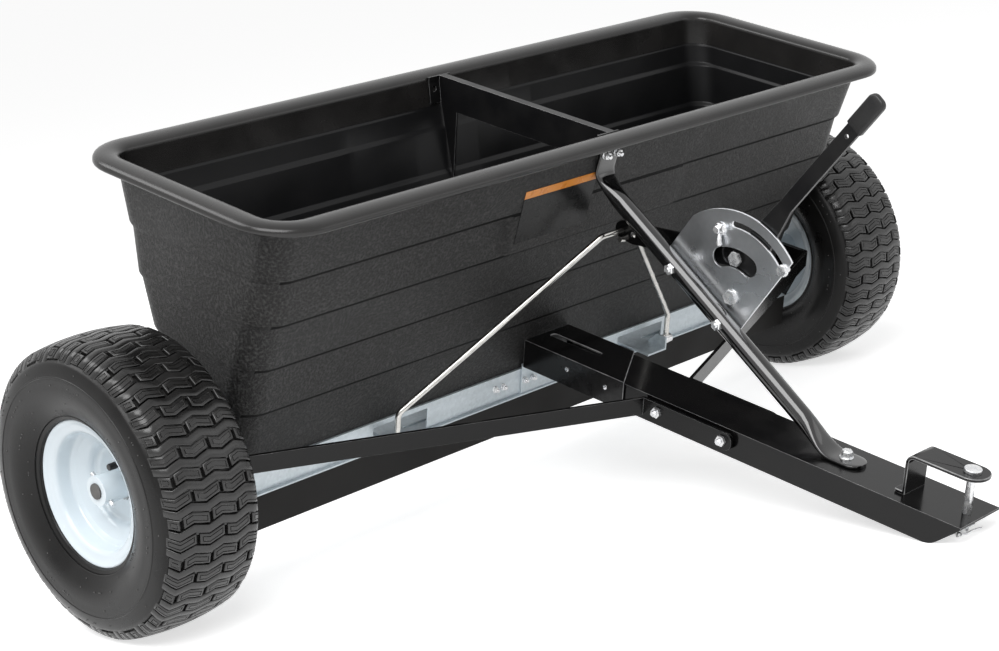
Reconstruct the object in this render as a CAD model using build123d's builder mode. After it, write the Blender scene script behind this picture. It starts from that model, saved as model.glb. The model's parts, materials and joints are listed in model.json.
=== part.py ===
from build123d import *
import os
from math import asin, atan2, cos, degrees, hypot, radians, sin, tan

# Drop spreader that is towed behind a garden tractor, in millimetres.
# Each piece is drawn level about the middle of the axle: +X right, +Y back, +Z up.
# As the machine parks it leans forward about the axle until its tongue rests on the ground.

# Wheels and axle
tyre_diameter = 375
tyre_width = 146
tyre_wall = 9
tread_width = 114
crown_drop = 5
shoulder_swell = 1.4
shoulder_lift = 7
flank_tuck = 4
flank_drop = 2
bead_width = 15.3
rim_width = 108.8
rim_flange_diameter = 185.6
rim_seat_diameter = 156
rim_well_diameter = 112
rim_sheet = 3
hub_diameter = 38
hub_length = 83.6
axle_diameter = 20
axle_past_left = 43.8
axle_past_right = 51.8
running_clearance = 0.05
drive_pin_diameter = 6
drive_pin_length = 50
drive_pin_inset = 9.5
drive_pin_angle = 32.3
valve_diameter = 8.4
valve_length = 32
valve_reach = 47
valve_angle = 120
spacer_diameter = 27
spacer_length = 47.8
washer_diameter = 36
washer_thickness = 2.5
side_gap = 0.3

# Hopper
rim_length = 1195.5
rim_breadth = 391.8
rim_height = 12.5
rim_corner = 75
rim_overhang = 31.8
rim_lip_wall = 4
rim_outer_round = 9
rim_inner_round = 4
hopper_y = -9.4
hopper_depth = 350
hopper_wall = 4
wall_corner = 38
step_drop = 5
step_side = 5
step_end = 1.5
# Wall steps: drop below the rim, inset of the end walls, inset of the side walls
wall_steps = [
    (35, 2, 7),
    (73, 4.5, 18),
    (135, 6, 34),
    (201, 11, 58),
    (268, 15, 78),
]
wall_foot_end = 18
wall_foot_side = 102
bolt_hole_diameter = 8
bolt_spread = 22
bolt_height = 334.5
back_bolt_height = 344.5

# Cross bar between the hopper's long walls
bar_rise = 9
bar_sheet = 3
bar_flange = 13
bar_beam = 45
bar_leg_reach = 120
bar_leg_foot = 222
bar_tab_width = 40
bar_tab_height = 37

# Trough, outlets and skirts
trough_sheet = 2.5
trough_height = 39.5
trough_half_width = 65.6
trough_flange = 17
hopper_end_gap = 8
outlet_lip = 5
outlets_per_plate = 4
outlet_length = 100
outlet_width = 22
skirt_height = 48
skirt_flange = 18
shutter_gap = 0.3
shutter_end_gap = 18
moving_clearance = 5

# Agitator
agitator_end_gap = 26
agitator_diameter = 27
finger_count = 20
finger_diameter = 6
finger_reach = 23

# Frame
end_plate_sheet = 4
end_plate_top = 44.5
end_plate_front = -105
end_plate_rear = 61
bearing_diameter = 28
bearing_flange_diameter = 40
bearing_flange = 3
bearing_inside = 4
bearing_outside = 6
brace_height = 24
brace_sheet = 5
brace_tip = -452
brace_bend = -302
brace_tail = -40
tongue_half_width = 41.9
tongue_top = 47.8
tongue_depth = 37.6
tongue_sheet = 3
tongue_tip = -788.6
tongue_toe = -750
tongue_toe_round = 32
tongue_back = -130
sleeve_back = -84
sleeve_left_front = -266
sleeve_right_front = -206
sleeve_slot_length = 90
sleeve_slot_width = 10
bracket_half_width = 38
bracket_reach = 62
bracket_sheet = 2.5

# Hitch
strap_width = 44
strap_sheet = 4.5
strap_top = 102
strap_throat = 79
strap_foot = 10
strap_bend = 12
pin_y = -769.5
strap_back = pin_y + strap_throat
pin_diameter = 11
pin_head_diameter = 22
pin_head_height = 4.5
pin_head_round = 1.5
pin_drop = 25

# Stay tube
stay_diameter = 25
stay_top = (-169, 285.5)
stay_low = (-548, 59.5)
stay_flat = 5
stay_tab_width = 36
stay_tab_foot = 299
stay_tab_top = 347
stay_press = 8
stay_fold = 11
stay_foot_end = -620

# Quadrant plate and lever
plate_sheet = 3
pivot_y = -382
pivot_z = 196
plate_radius = 115
plate_back_angle = -39
plate_front_angle = 50.3
plate_back_corner = (-281, 240)
plate_low_corner = (-406.3, 164.3)
plate_behind_stay = 26
guide_radius = 97
guide_width = 8
guide_angles = (-3, 52)
kidney_radius = 52.5
kidney_half_width = 13
kidney_angles = (-24, 26)
kidney_bolt_angle = 2.5
kidney_bolt_diameter = 8
kidney_head_diameter = 20
kidney_head_height = 4
stop_angle = 52
wing_angle = -17.2
wing_radius = 89
stop_diameter = 8
stop_head_diameter = 15
stop_head_height = 5
pivot_bolt_diameter = 10
pivot_head_diameter = 20
pivot_head_height = 5
lever_gap = 1.5
lever_sheet = 5
lever_width = 20
lever_eye = 15
lever_ear = 11.5
lever_bend_radius = 155.2
lever_low_angle = 25.2
lever_high_angle = 34.85
lever_length = 192.5
lever_hole_diameter = 6
lever_hole_place = 135.5
grip_length = 55
grip_wall = 2.5
grip_round = 2
lever_back_deg = 17
lever_front_deg = 13

# Linkage from the lever to the shutter
link_gap = 1
link_sheet = 4
link_width = 26
link_front_eye = 15
link_front_slack = 4.5
link_left_hole = (-186, 226)
link_right_hole = (-204, 224)
rod_diameter = 8
rod_fit = 0.1
rod_hook = 6
rod_left_knee = 42
rod_right_knee = 24
rod_bend = 14
rod_low_y = -100
rod_low_z = 20
rod_foot_z = -19
rod_left_x = -295
rod_right_x = 243
clamp_diameter = 14
clamp_length = 16
ear_sheet = 3
ear_width = 18
foot_width = 40
window_inner = 78
window_outer = 19

# Worked out from the sizes above
tyre_radius = tyre_diameter / 2
axle_radius = axle_diameter / 2
hopper_foot = 2.5
rim_under = hopper_foot + hopper_depth
top_half_length = rim_length / 2 - rim_overhang
top_half_width = rim_breadth / 2 - rim_overhang
trough_half_length = top_half_length - wall_foot_end + hopper_end_gap
shutter_half_length = trough_half_length - shutter_end_gap
outlet_pitch = shutter_half_length / outlets_per_plate
trough_top = hopper_foot
trough_front = hopper_y - trough_half_width
trough_floor = trough_top - trough_height
trough_inside = trough_half_width - trough_sheet
end_plate_inside = trough_half_length
end_plate_outside = end_plate_inside + end_plate_sheet
spacer_from = end_plate_outside + bearing_outside + side_gap
hub_from = spacer_from + spacer_length + side_gap
wheel_place = hub_from + hub_length / 2
axle_left_end = wheel_place + axle_past_left
axle_right_end = wheel_place + axle_past_right
drive_pin_direction = (0, cos(radians(drive_pin_angle)), sin(radians(drive_pin_angle)))
drive_pin_centre = (drive_pin_inset - hub_length / 2 - wheel_place, 0, 0)
drive_pin_plane = Plane(drive_pin_centre, x_dir=(1, 0, 0), z_dir=drive_pin_direction)
tongue_bottom = tongue_top - tongue_depth
stay_slope = atan2(stay_top[1] - stay_low[1], stay_top[0] - stay_low[0])
plate_near = stay_diameter / 2
plate_far = plate_near + plate_sheet
lever_near = plate_far + lever_gap
lever_far = lever_near + lever_sheet
link_near = lever_far + link_gap
link_far = link_near + link_sheet
shutter_forward = kidney_radius * radians(lever_front_deg)
shutter_back = kidney_radius * radians(lever_back_deg)
shutter_low = trough_floor + trough_sheet + shutter_gap
shutter_high = shutter_low + trough_sheet

# The toe of the tongue's side is round, and that round rests on the ground
toe_rise = atan2(tongue_depth - tongue_sheet, tongue_toe - tongue_tip)
toe_centre_y = tongue_toe + tongue_toe_round * tan(toe_rise / 2)
toe_centre_z = tongue_bottom + tongue_toe_round
toe_distance = hypot(toe_centre_y, toe_centre_z)
park_angle = asin((tyre_radius - tongue_toe_round) / toe_distance) + atan2(toe_centre_z, -toe_centre_y)

# The origin lies on the ground, under the middle of the parked machine
front_reach = (strap_width / 2 - pin_y) * cos(park_angle) + strap_top * sin(park_angle)
axle_y = (front_reach - tyre_radius) / 2
parked = Location((0, axle_y, tyre_radius), (degrees(park_angle), 0, 0))


def about_pivot(radius, angle):
    """Point (y, z) at a radius from the lever's pivot, its angle in degrees forward of straight up."""
    return (pivot_y - radius * sin(radians(angle)), pivot_z + radius * cos(radians(angle)))


def save(piece, label):
    """Name a finished piece, lean it as the machine parks, and write it."""
    piece.part.label = label
    piece.part.move(parked)
    export_step(piece.part, f"parts/{label}.step")


os.makedirs("parts", exist_ok=True)

# Wheels: each is drawn from the middle of its tyre outwards, and turned about the axle
rim_half = rim_width / 2
bead_face = rim_half - rim_sheet
seat_radius = rim_seat_diameter / 2
flange_radius = rim_flange_diameter / 2
well_radius = rim_well_diameter / 2
tread_half = tread_width / 2
tyre_half = tyre_width / 2
widest_radius = (tyre_radius + flange_radius) / 2
shoulder_reach = (tyre_half + tread_half) / 2 + shoulder_swell
shoulder_height = (tyre_radius + widest_radius) / 2 + shoulder_lift
flank_reach = tyre_half - flank_tuck
flank_height = (widest_radius + flange_radius) / 2 - flank_drop

for side, name in ((-1, "left"), (1, "right")):
    wheel_plane = Plane((side * wheel_place, 0, 0), x_dir=(side, 0, 0), z_dir=(0, 0, side))

    with BuildPart() as tyre:
        with BuildSketch(wheel_plane):
            with BuildLine():
                for way in (-1, 1):
                    shoulder = (way * tread_half, tyre_radius - crown_drop)
                    widest = (way * tyre_half, widest_radius)
                    rim_edge = (way * (rim_half + side_gap), flange_radius + side_gap)
                    inner_shoulder = (way * (tread_half - tyre_wall), tyre_radius - crown_drop - tyre_wall)
                    inner_widest = (way * (tyre_half - tyre_wall), widest_radius)
                    bead_top = (way * (bead_face - bead_width), flange_radius - tyre_wall / 2)
                    ThreePointArc(shoulder, (way * shoulder_reach, shoulder_height), widest)
                    ThreePointArc(widest, (way * flank_reach, flank_height), rim_edge)
                    Polyline(
                        rim_edge,
                        (way * bead_face, flange_radius + side_gap),
                        (way * bead_face, seat_radius),
                        (way * (bead_face - bead_width), seat_radius),
                        bead_top,
                        inner_widest,
                        inner_shoulder,
                    )
                shoulder_radius = tyre_radius - crown_drop
                ThreePointArc((-tread_half, shoulder_radius), (0, tyre_radius), (tread_half, shoulder_radius))
                inner_half = tread_half - tyre_wall
                Line((-inner_half, shoulder_radius - tyre_wall), (inner_half, shoulder_radius - tyre_wall))
            make_face()
        revolve(axis=Axis.X)
    save(tyre, f"tyre_{name}")

    with BuildPart() as rim:
        with BuildSketch(wheel_plane):
            with BuildLine():
                Polyline(
                    (-rim_half, flange_radius),
                    (-bead_face, flange_radius),
                    (-bead_face, seat_radius),
                    (-rim_half / 2, seat_radius),
                    (-rim_half / 5, well_radius),
                    (rim_half / 5, well_radius),
                    (rim_half / 2, seat_radius),
                    (bead_face, seat_radius),
                    (bead_face, flange_radius),
                    (rim_half, flange_radius),
                    (rim_half, seat_radius - rim_sheet),
                    (rim_half / 2 + rim_sheet / 2, seat_radius - rim_sheet),
                    (rim_half / 5 + rim_sheet / 2, well_radius - rim_sheet),
                    (rim_sheet, well_radius - rim_sheet),
                    (rim_sheet, hub_diameter / 2),
                    (0, hub_diameter / 2),
                    (0, well_radius - rim_sheet),
                    (-rim_half / 5 - rim_sheet / 2, well_radius - rim_sheet),
                    (-rim_half / 2 - rim_sheet / 2, seat_radius - rim_sheet),
                    (-rim_half, seat_radius - rim_sheet),
                    close=True,
                )
            make_face()
        revolve(axis=Axis.X)
    save(rim, f"rim_{name}")

    with BuildPart() as hub:
        with BuildSketch(Plane.YZ.offset(side * wheel_place)):
            Circle(hub_diameter / 2)
            Circle(axle_radius + running_clearance, mode=Mode.SUBTRACT)
        extrude(amount=hub_length / 2, both=True)
        if side < 0:
            with BuildSketch(drive_pin_plane):
                Circle(drive_pin_diameter / 2 + running_clearance)
            extrude(amount=hub_diameter, both=True, mode=Mode.SUBTRACT)
    save(hub, f"hub_{name}")

    valve_y = valve_reach * cos(radians(valve_angle))
    valve_z = valve_reach * sin(radians(valve_angle))
    with BuildPart() as valve:
        with BuildSketch(Plane.YZ.offset(side * (wheel_place + rim_sheet))):
            with Locations((valve_y, valve_z)):
                Circle(valve_diameter / 2)
        extrude(amount=side * valve_length)
    save(valve, f"valve_{name}")

    with BuildPart() as spacer:
        with BuildSketch(Plane.YZ.offset(side * spacer_from)):
            Circle(spacer_diameter / 2)
            Circle(axle_radius + running_clearance, mode=Mode.SUBTRACT)
        extrude(amount=side * spacer_length)
    save(spacer, f"spacer_{name}")

with BuildPart() as drive_pin:
    with BuildSketch(drive_pin_plane):
        Circle(drive_pin_diameter / 2)
    extrude(amount=drive_pin_length / 2, both=True)
save(drive_pin, "drive_pin")

with BuildPart() as axle:
    with BuildSketch(Plane.YZ.offset(-axle_left_end)):
        Circle(axle_radius)
    extrude(amount=axle_left_end + axle_right_end)
    with BuildSketch(drive_pin_plane):
        Circle(drive_pin_diameter / 2 + running_clearance)
    extrude(amount=axle_diameter, both=True, mode=Mode.SUBTRACT)
save(axle, "axle")

with BuildPart() as end_washer:
    washer_from = wheel_place + hub_length / 2 + side_gap
    with BuildSketch(Plane.YZ.offset(washer_from)):
        Circle(washer_diameter / 2)
        Circle(axle_radius + running_clearance, mode=Mode.SUBTRACT)
    extrude(amount=washer_thickness)
save(end_washer, "end_washer")

# Hopper: a tub of sloping bands with a small step between one band and the next
# Wall lines from the rim down: height, outer half length, outer half width
wall_lines = [(rim_under, top_half_length, top_half_width)]
for drop, end_inset, side_inset in wall_steps:
    half_length = top_half_length - end_inset
    half_width = top_half_width - side_inset
    wall_lines.append((rim_under - drop, half_length, half_width))
    wall_lines.append((rim_under - drop - step_drop, half_length - step_end, half_width - step_side))
wall_lines.append((hopper_foot, top_half_length - wall_foot_end, top_half_width - wall_foot_side))
first_step_height = wall_lines[1][0]
first_step_half_width = wall_lines[1][2]


def wall_half_width(height):
    """Outer half width of the hopper at a height inside its top band."""
    share = (height - first_step_height) / (rim_under - first_step_height)
    return first_step_half_width + share * (top_half_width - first_step_half_width)


with BuildPart() as hopper:
    for shrink, mode in ((0, Mode.ADD), (hopper_wall, Mode.SUBTRACT)):
        for height, half_length, half_width in wall_lines:
            with BuildSketch(Plane((0, hopper_y, height))):
                RectangleRounded(2 * (half_length - shrink), 2 * (half_width - shrink), wall_corner - shrink)
        loft(ruled=True, mode=mode)
    with BuildSketch(Plane((0, hopper_y, rim_under))):
        RectangleRounded(rim_length, rim_breadth, rim_corner)
        RectangleRounded(
            2 * (top_half_length - hopper_wall),
            2 * (top_half_width - hopper_wall),
            wall_corner - hopper_wall,
            mode=Mode.SUBTRACT,
        )
    extrude(amount=rim_height)
    rim_face = hopper.faces().sort_by(Axis.Z)[-1]
    fillet(rim_face.outer_wire().edges(), radius=rim_outer_round)
    rim_face = hopper.faces().sort_by(Axis.Z)[-1]
    fillet(rim_face.inner_wires()[0].edges(), radius=rim_inner_round)
    with BuildSketch(Plane((0, hopper_y, rim_under))):
        roll_inside = (rim_length - 2 * rim_lip_wall, rim_breadth - 2 * rim_lip_wall)
        RectangleRounded(*roll_inside, rim_corner - rim_lip_wall)
        RectangleRounded(2 * top_half_length, 2 * top_half_width, wall_corner, mode=Mode.SUBTRACT)
    extrude(amount=rim_height - rim_lip_wall - rim_outer_round / 3, mode=Mode.SUBTRACT)
    with BuildSketch(Plane.YZ.offset(-top_half_length)):
        Circle(axle_radius + moving_clearance)
    extrude(amount=2 * top_half_length, mode=Mode.SUBTRACT)
    for way, height in ((1, bolt_height), (-1, back_bolt_height)):
        with BuildSketch(Plane.XZ.offset(-hopper_y)):
            with Locations((-bolt_spread / 2, height), (bolt_spread / 2, height)):
                Circle(bolt_hole_diameter / 2)
        extrude(amount=way * rim_breadth / 2, mode=Mode.SUBTRACT)
save(hopper, "hopper")

# Cross bar: an arch of sheet between the long walls, with a flange along its top
bar_top_z = rim_under + bar_rise
bar_half_top = top_half_width - hopper_wall - running_clearance
bar_foot_slope = max(
    (top_half_width - half_width) / (rim_under - height)
    for height, half_length, half_width in wall_lines
    if bar_leg_foot < height < rim_under
)
bar_half_foot = bar_half_top - (rim_under - bar_leg_foot) * bar_foot_slope

with BuildPart() as cross_bar:
    with BuildSketch(Plane.YZ):
        with BuildLine():
            Polyline(
                (hopper_y - bar_half_top, bar_top_z),
                (hopper_y + bar_half_top, bar_top_z),
                (hopper_y + bar_half_top, rim_under),
                (hopper_y + bar_half_foot, bar_leg_foot),
                (hopper_y + bar_leg_reach, bar_leg_foot),
                (hopper_y + bar_leg_reach, bar_top_z - bar_beam),
                (hopper_y - bar_leg_reach, bar_top_z - bar_beam),
                (hopper_y - bar_leg_reach, bar_leg_foot),
                (hopper_y - bar_half_foot, bar_leg_foot),
                (hopper_y - bar_half_top, rim_under),
                close=True,
            )
        make_face()
    extrude(amount=bar_sheet)
    with BuildSketch(Plane.XY.offset(bar_top_z - bar_sheet)):
        with Locations((bar_flange / 2, hopper_y)):
            Rectangle(bar_flange, 2 * (bar_half_top - bar_sheet))
    extrude(amount=bar_sheet)
    for way in (-1, 1):
        tab_low = bar_top_z - bar_tab_height
        tab_edge_low = wall_half_width(tab_low) - hopper_wall - running_clearance
        with BuildSketch(Plane.YZ.offset(-bar_tab_width / 2)):
            with BuildLine():
                Polyline(
                    (hopper_y + way * bar_half_top, bar_top_z),
                    (hopper_y + way * (bar_half_top - bar_sheet), bar_top_z),
                    (hopper_y + way * (bar_half_top - bar_sheet), rim_under),
                    (hopper_y + way * (tab_edge_low - bar_sheet), tab_low),
                    (hopper_y + way * tab_edge_low, tab_low),
                    (hopper_y + way * bar_half_top, rim_under),
                    close=True,
                )
            make_face()
        extrude(amount=bar_tab_width)
    for way, height in ((1, bolt_height), (-1, back_bolt_height)):
        with BuildSketch(Plane.XZ.offset(-hopper_y)):
            with Locations((-bolt_spread / 2, height), (bolt_spread / 2, height)):
                Circle(bolt_hole_diameter / 2)
        extrude(amount=way * rim_breadth / 2, mode=Mode.SUBTRACT)
save(cross_bar, "cross_bar")

# Trough: two upright rails with flanges under the hopper, and a floor with a row of outlets
window_spans = []
for rod_x in (rod_left_x, rod_right_x):
    side = 1 if rod_x > 0 else -1
    window_spans.append(sorted((rod_x - side * window_inner, rod_x + side * window_outer)))

for way, name in ((-1, "front"), (1, "rear")):
    web_y = hopper_y + way * trough_half_width
    with BuildPart() as rail:
        with BuildSketch(Plane.YZ.offset(-trough_half_length)):
            with BuildLine():
                Polyline(
                    (web_y, trough_floor + trough_sheet),
                    (web_y, trough_top),
                    (web_y - way * trough_flange, trough_top),
                    (web_y - way * trough_flange, trough_top - trough_sheet),
                    (web_y - way * trough_sheet, trough_top - trough_sheet),
                    (web_y - way * trough_sheet, trough_floor + trough_sheet),
                    close=True,
                )
            make_face()
        extrude(amount=2 * trough_half_length)
        if way < 0:
            for start, stop in window_spans:
                with BuildSketch(Plane.XZ.offset(-web_y)):
                    with Locations(((start + stop) / 2, trough_floor + trough_sheet)):
                        Rectangle(stop - start, 2 * (trough_height - 4 * trough_sheet))
                extrude(amount=trough_sheet, both=True, mode=Mode.SUBTRACT)
    save(rail, f"trough_rail_{name}")

# The floor is two plates that meet in the middle, each with its own outlets
outlet_row_centre = outlets_per_plate * outlet_pitch / 2
for side, name in ((-1, "left"), (1, "right")):
    with BuildPart() as outlet_plate:
        with BuildSketch(Plane((0, hopper_y, trough_floor))):
            with Locations((side * trough_half_length / 2, 0)):
                Rectangle(trough_half_length, 2 * (trough_half_width + outlet_lip))
            with Locations((side * outlet_row_centre, 0)):
                with GridLocations(outlet_pitch, 1, outlets_per_plate, 1):
                    Rectangle(outlet_length, outlet_width, mode=Mode.SUBTRACT)
        extrude(amount=trough_sheet)
    save(outlet_plate, f"outlet_plate_{name}")

for way, name in ((-1, "front"), (1, "rear")):
    skirt_y = hopper_y + way * (trough_half_width + outlet_lip)
    with BuildPart() as skirt:
        with BuildSketch(Plane.YZ.offset(-trough_half_length)):
            with BuildLine():
                Polyline(
                    (skirt_y, trough_floor),
                    (skirt_y, trough_floor - skirt_height),
                    (skirt_y - way * trough_sheet, trough_floor - skirt_height),
                    (skirt_y - way * trough_sheet, trough_floor - trough_sheet),
                    (skirt_y - way * skirt_flange, trough_floor - trough_sheet),
                    (skirt_y - way * skirt_flange, trough_floor),
                    close=True,
                )
            make_face()
        extrude(amount=2 * trough_half_length)
    save(skirt, f"skirt_{name}")

# End plates with the axle's bearings
for side, name in ((-1, "left"), (1, "right")):
    with BuildPart() as end_plate:
        with BuildSketch(Plane.YZ.offset(side * end_plate_inside)):
            with BuildLine():
                Polyline(
                    (end_plate_front, end_plate_top),
                    (end_plate_rear, end_plate_top),
                    (end_plate_rear, trough_floor),
                    (trough_front - outlet_lip, trough_floor),
                    (end_plate_front, end_plate_top - brace_height),
                    close=True,
                )
            make_face()
            Circle(bearing_diameter / 2, mode=Mode.SUBTRACT)
        extrude(amount=side * end_plate_sheet)
    save(end_plate, f"end_plate_{name}")

    with BuildPart() as bearing:
        with BuildSketch(Plane.YZ.offset(side * (end_plate_inside - bearing_inside))):
            Circle(bearing_diameter / 2)
        extrude(amount=side * (bearing_inside + end_plate_sheet + bearing_outside))
        with BuildSketch(Plane.YZ.offset(side * end_plate_outside)):
            Circle(bearing_flange_diameter / 2)
        extrude(amount=side * bearing_flange)
        with BuildSketch(Plane.YZ.offset(side * (end_plate_inside - bearing_inside))):
            Circle(axle_radius + running_clearance)
        extrude(amount=side * (bearing_inside + end_plate_sheet + bearing_outside), mode=Mode.SUBTRACT)
    save(bearing, f"bearing_{name}")

# Agitator: a sleeve on the axle with fingers that stir the trough
agitator_half_length = trough_half_length - agitator_end_gap

with BuildPart() as agitator:
    with BuildSketch(Plane.YZ.offset(-agitator_half_length)):
        Circle(agitator_diameter / 2)
    extrude(amount=2 * agitator_half_length)
    finger_pitch = 2 * agitator_half_length / finger_count
    for index in range(finger_count):
        finger_x = (index + 0.5) * finger_pitch - agitator_half_length
        turned = 90 * (index % 2)
        finger_direction = (0, cos(radians(turned)), sin(radians(turned)))
        with BuildSketch(Plane((finger_x, 0, 0), x_dir=(1, 0, 0), z_dir=finger_direction)):
            Circle(finger_diameter / 2)
        extrude(amount=finger_reach, both=True)
    with BuildSketch(Plane.YZ.offset(-agitator_half_length)):
        Circle(axle_radius + running_clearance)
    extrude(amount=2 * agitator_half_length, mode=Mode.SUBTRACT)
save(agitator, "agitator")

# Braces from the tongue to the end plates
for side, name in ((-1, "left"), (1, "right")):
    inner_x = side * (tongue_half_width + tongue_sheet)
    outer_x = side * end_plate_outside
    with BuildPart() as brace:
        with BuildSketch(Plane.XY.offset(end_plate_top - brace_height)):
            with BuildLine():
                brace_line = Polyline(
                    (inner_x, brace_tip),
                    (inner_x, brace_bend),
                    (outer_x, end_plate_front),
                    (outer_x, brace_tail),
                )
                offset(brace_line, amount=brace_sheet, side=Side.RIGHT if side > 0 else Side.LEFT)
            make_face()
        extrude(amount=brace_height)
        tip_edges = brace.edges().filter_by(Axis.X).group_by(Axis.Y)[0]
        fillet(tip_edges, radius=brace_height / 2 - 1)
    save(brace, f"brace_{name}")

# Tongue: a channel, open below, whose sides slant up at the tip
with BuildPart() as tongue:
    with BuildSketch(Plane.YZ.offset(-tongue_half_width)):
        with BuildLine():
            Polyline(
                (tongue_back, tongue_top),
                (tongue_tip, tongue_top),
                (tongue_tip, tongue_top - tongue_sheet),
                (tongue_toe, tongue_bottom),
                (tongue_back, tongue_bottom),
                close=True,
            )
        make_face()
    extrude(amount=2 * tongue_half_width)
    toe_edge = tongue.edges().filter_by(Axis.X).group_by(Axis.Z)[0].sort_by(Axis.Y)[0]
    fillet(toe_edge, radius=tongue_toe_round)
    with BuildSketch(Plane.XZ.offset(-tongue_back)):
        with Locations((0, tongue_bottom)):
            Rectangle(2 * (tongue_half_width - tongue_sheet), 2 * (tongue_depth - tongue_sheet))
    extrude(amount=tongue_back - tongue_tip, mode=Mode.SUBTRACT)
    with BuildSketch(Plane.XY.offset(tongue_top)):
        with Locations((0, pin_y)):
            Circle(pin_diameter / 2 + running_clearance)
    extrude(amount=-tongue_sheet, mode=Mode.SUBTRACT)
save(tongue, "tongue")

with BuildPart() as tongue_sleeve:
    sleeve_half = tongue_half_width + tongue_sheet
    with BuildSketch(Plane.XY.offset(tongue_bottom)):
        with BuildLine():
            Polyline(
                (-sleeve_half, sleeve_back),
                (sleeve_half, sleeve_back),
                (sleeve_half, sleeve_right_front),
                (-sleeve_half, sleeve_left_front),
                close=True,
            )
        make_face()
    extrude(amount=tongue_depth + tongue_sheet)
    with BuildSketch(Plane.XZ.offset(-sleeve_back)):
        with Locations((0, tongue_bottom)):
            Rectangle(2 * tongue_half_width, 2 * tongue_depth)
    extrude(amount=sleeve_back - sleeve_left_front, mode=Mode.SUBTRACT)
    with BuildSketch(Plane.XY.offset(tongue_top + tongue_sheet)):
        with Locations((0, sleeve_back - sleeve_slot_length / 2 - sleeve_slot_width)):
            SlotOverall(sleeve_slot_length, sleeve_slot_width, rotation=90)
    extrude(amount=-tongue_sheet, mode=Mode.SUBTRACT)
save(tongue_sleeve, "tongue_sleeve")

with BuildPart() as tongue_bracket:
    with BuildSketch(Plane.YZ.offset(-bracket_half_width)):
        with BuildLine():
            Polyline(
                (trough_front, trough_floor + trough_sheet),
                (trough_front, tongue_bottom),
                (trough_front - bracket_reach, tongue_bottom),
                (trough_front - bracket_reach, tongue_bottom - bracket_sheet),
                (trough_front - bracket_sheet, tongue_bottom - bracket_sheet),
                (trough_front - bracket_sheet, trough_floor + trough_sheet),
                close=True,
            )
        make_face()
    extrude(amount=2 * bracket_half_width)
save(tongue_bracket, "tongue_bracket")

# Hitch: a bent strap on the tongue, and the pin through strap and tongue
with BuildPart() as hitch_strap:
    with BuildSketch(Plane.YZ.offset(-strap_width / 2)):
        with BuildLine():
            Polyline(
                (strap_back + strap_foot, tongue_top),
                (strap_back + strap_foot, tongue_top + strap_sheet),
                (strap_back, tongue_top + strap_sheet),
                (strap_back, strap_top),
                (pin_y - strap_width / 2, strap_top),
                (pin_y - strap_width / 2, strap_top - strap_sheet),
                (strap_back - strap_sheet, strap_top - strap_sheet),
                (strap_back - strap_sheet, tongue_top),
                close=True,
            )
        make_face()
    extrude(amount=strap_width)
    bend_edges = hitch_strap.edges().filter_by(Axis.X)
    fillet(bend_edges.sort_by_distance((0, strap_back, strap_top))[0], radius=strap_bend)
    bend_edges = hitch_strap.edges().filter_by(Axis.X)
    inner_bend = (0, strap_back - strap_sheet, strap_top - strap_sheet)
    fillet(bend_edges.sort_by_distance(inner_bend)[0], radius=strap_bend - strap_sheet)
    nose_edges = hitch_strap.edges().filter_by(Axis.Z).group_by(Axis.Y)[0]
    fillet(nose_edges, radius=strap_width / 2 - 1)
    with BuildSketch(Plane.XY.offset(strap_top)):
        with Locations((0, pin_y)):
            Circle(pin_diameter / 2 + running_clearance)
    extrude(amount=-strap_sheet, mode=Mode.SUBTRACT)
save(hitch_strap, "hitch_strap")

with BuildPart() as hitch_pin:
    pin_low = tongue_top - tongue_sheet - pin_drop
    with BuildSketch(Plane((0, pin_y, pin_low))):
        Circle(pin_diameter / 2)
    extrude(amount=strap_top - pin_low)
    with BuildSketch(Plane((0, pin_y, strap_top))):
        Circle(pin_head_diameter / 2)
    extrude(amount=pin_head_height)
    fillet(hitch_pin.faces().sort_by(Axis.Z)[-1].edges(), radius=pin_head_round)
save(hitch_pin, "hitch_pin")

# Stay: a tube from the hopper's front wall to the tongue, pressed flat at both ends
stay_along = (0, cos(stay_slope), sin(stay_slope))
wall_lean = (top_half_width - first_step_half_width) / (rim_under - first_step_height)
wall_up = Vector(0, -wall_lean, 1).normalized()
tab_foot_y = hopper_y - wall_half_width(stay_tab_foot) - stay_flat / 2 / wall_up.Z - running_clearance

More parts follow.
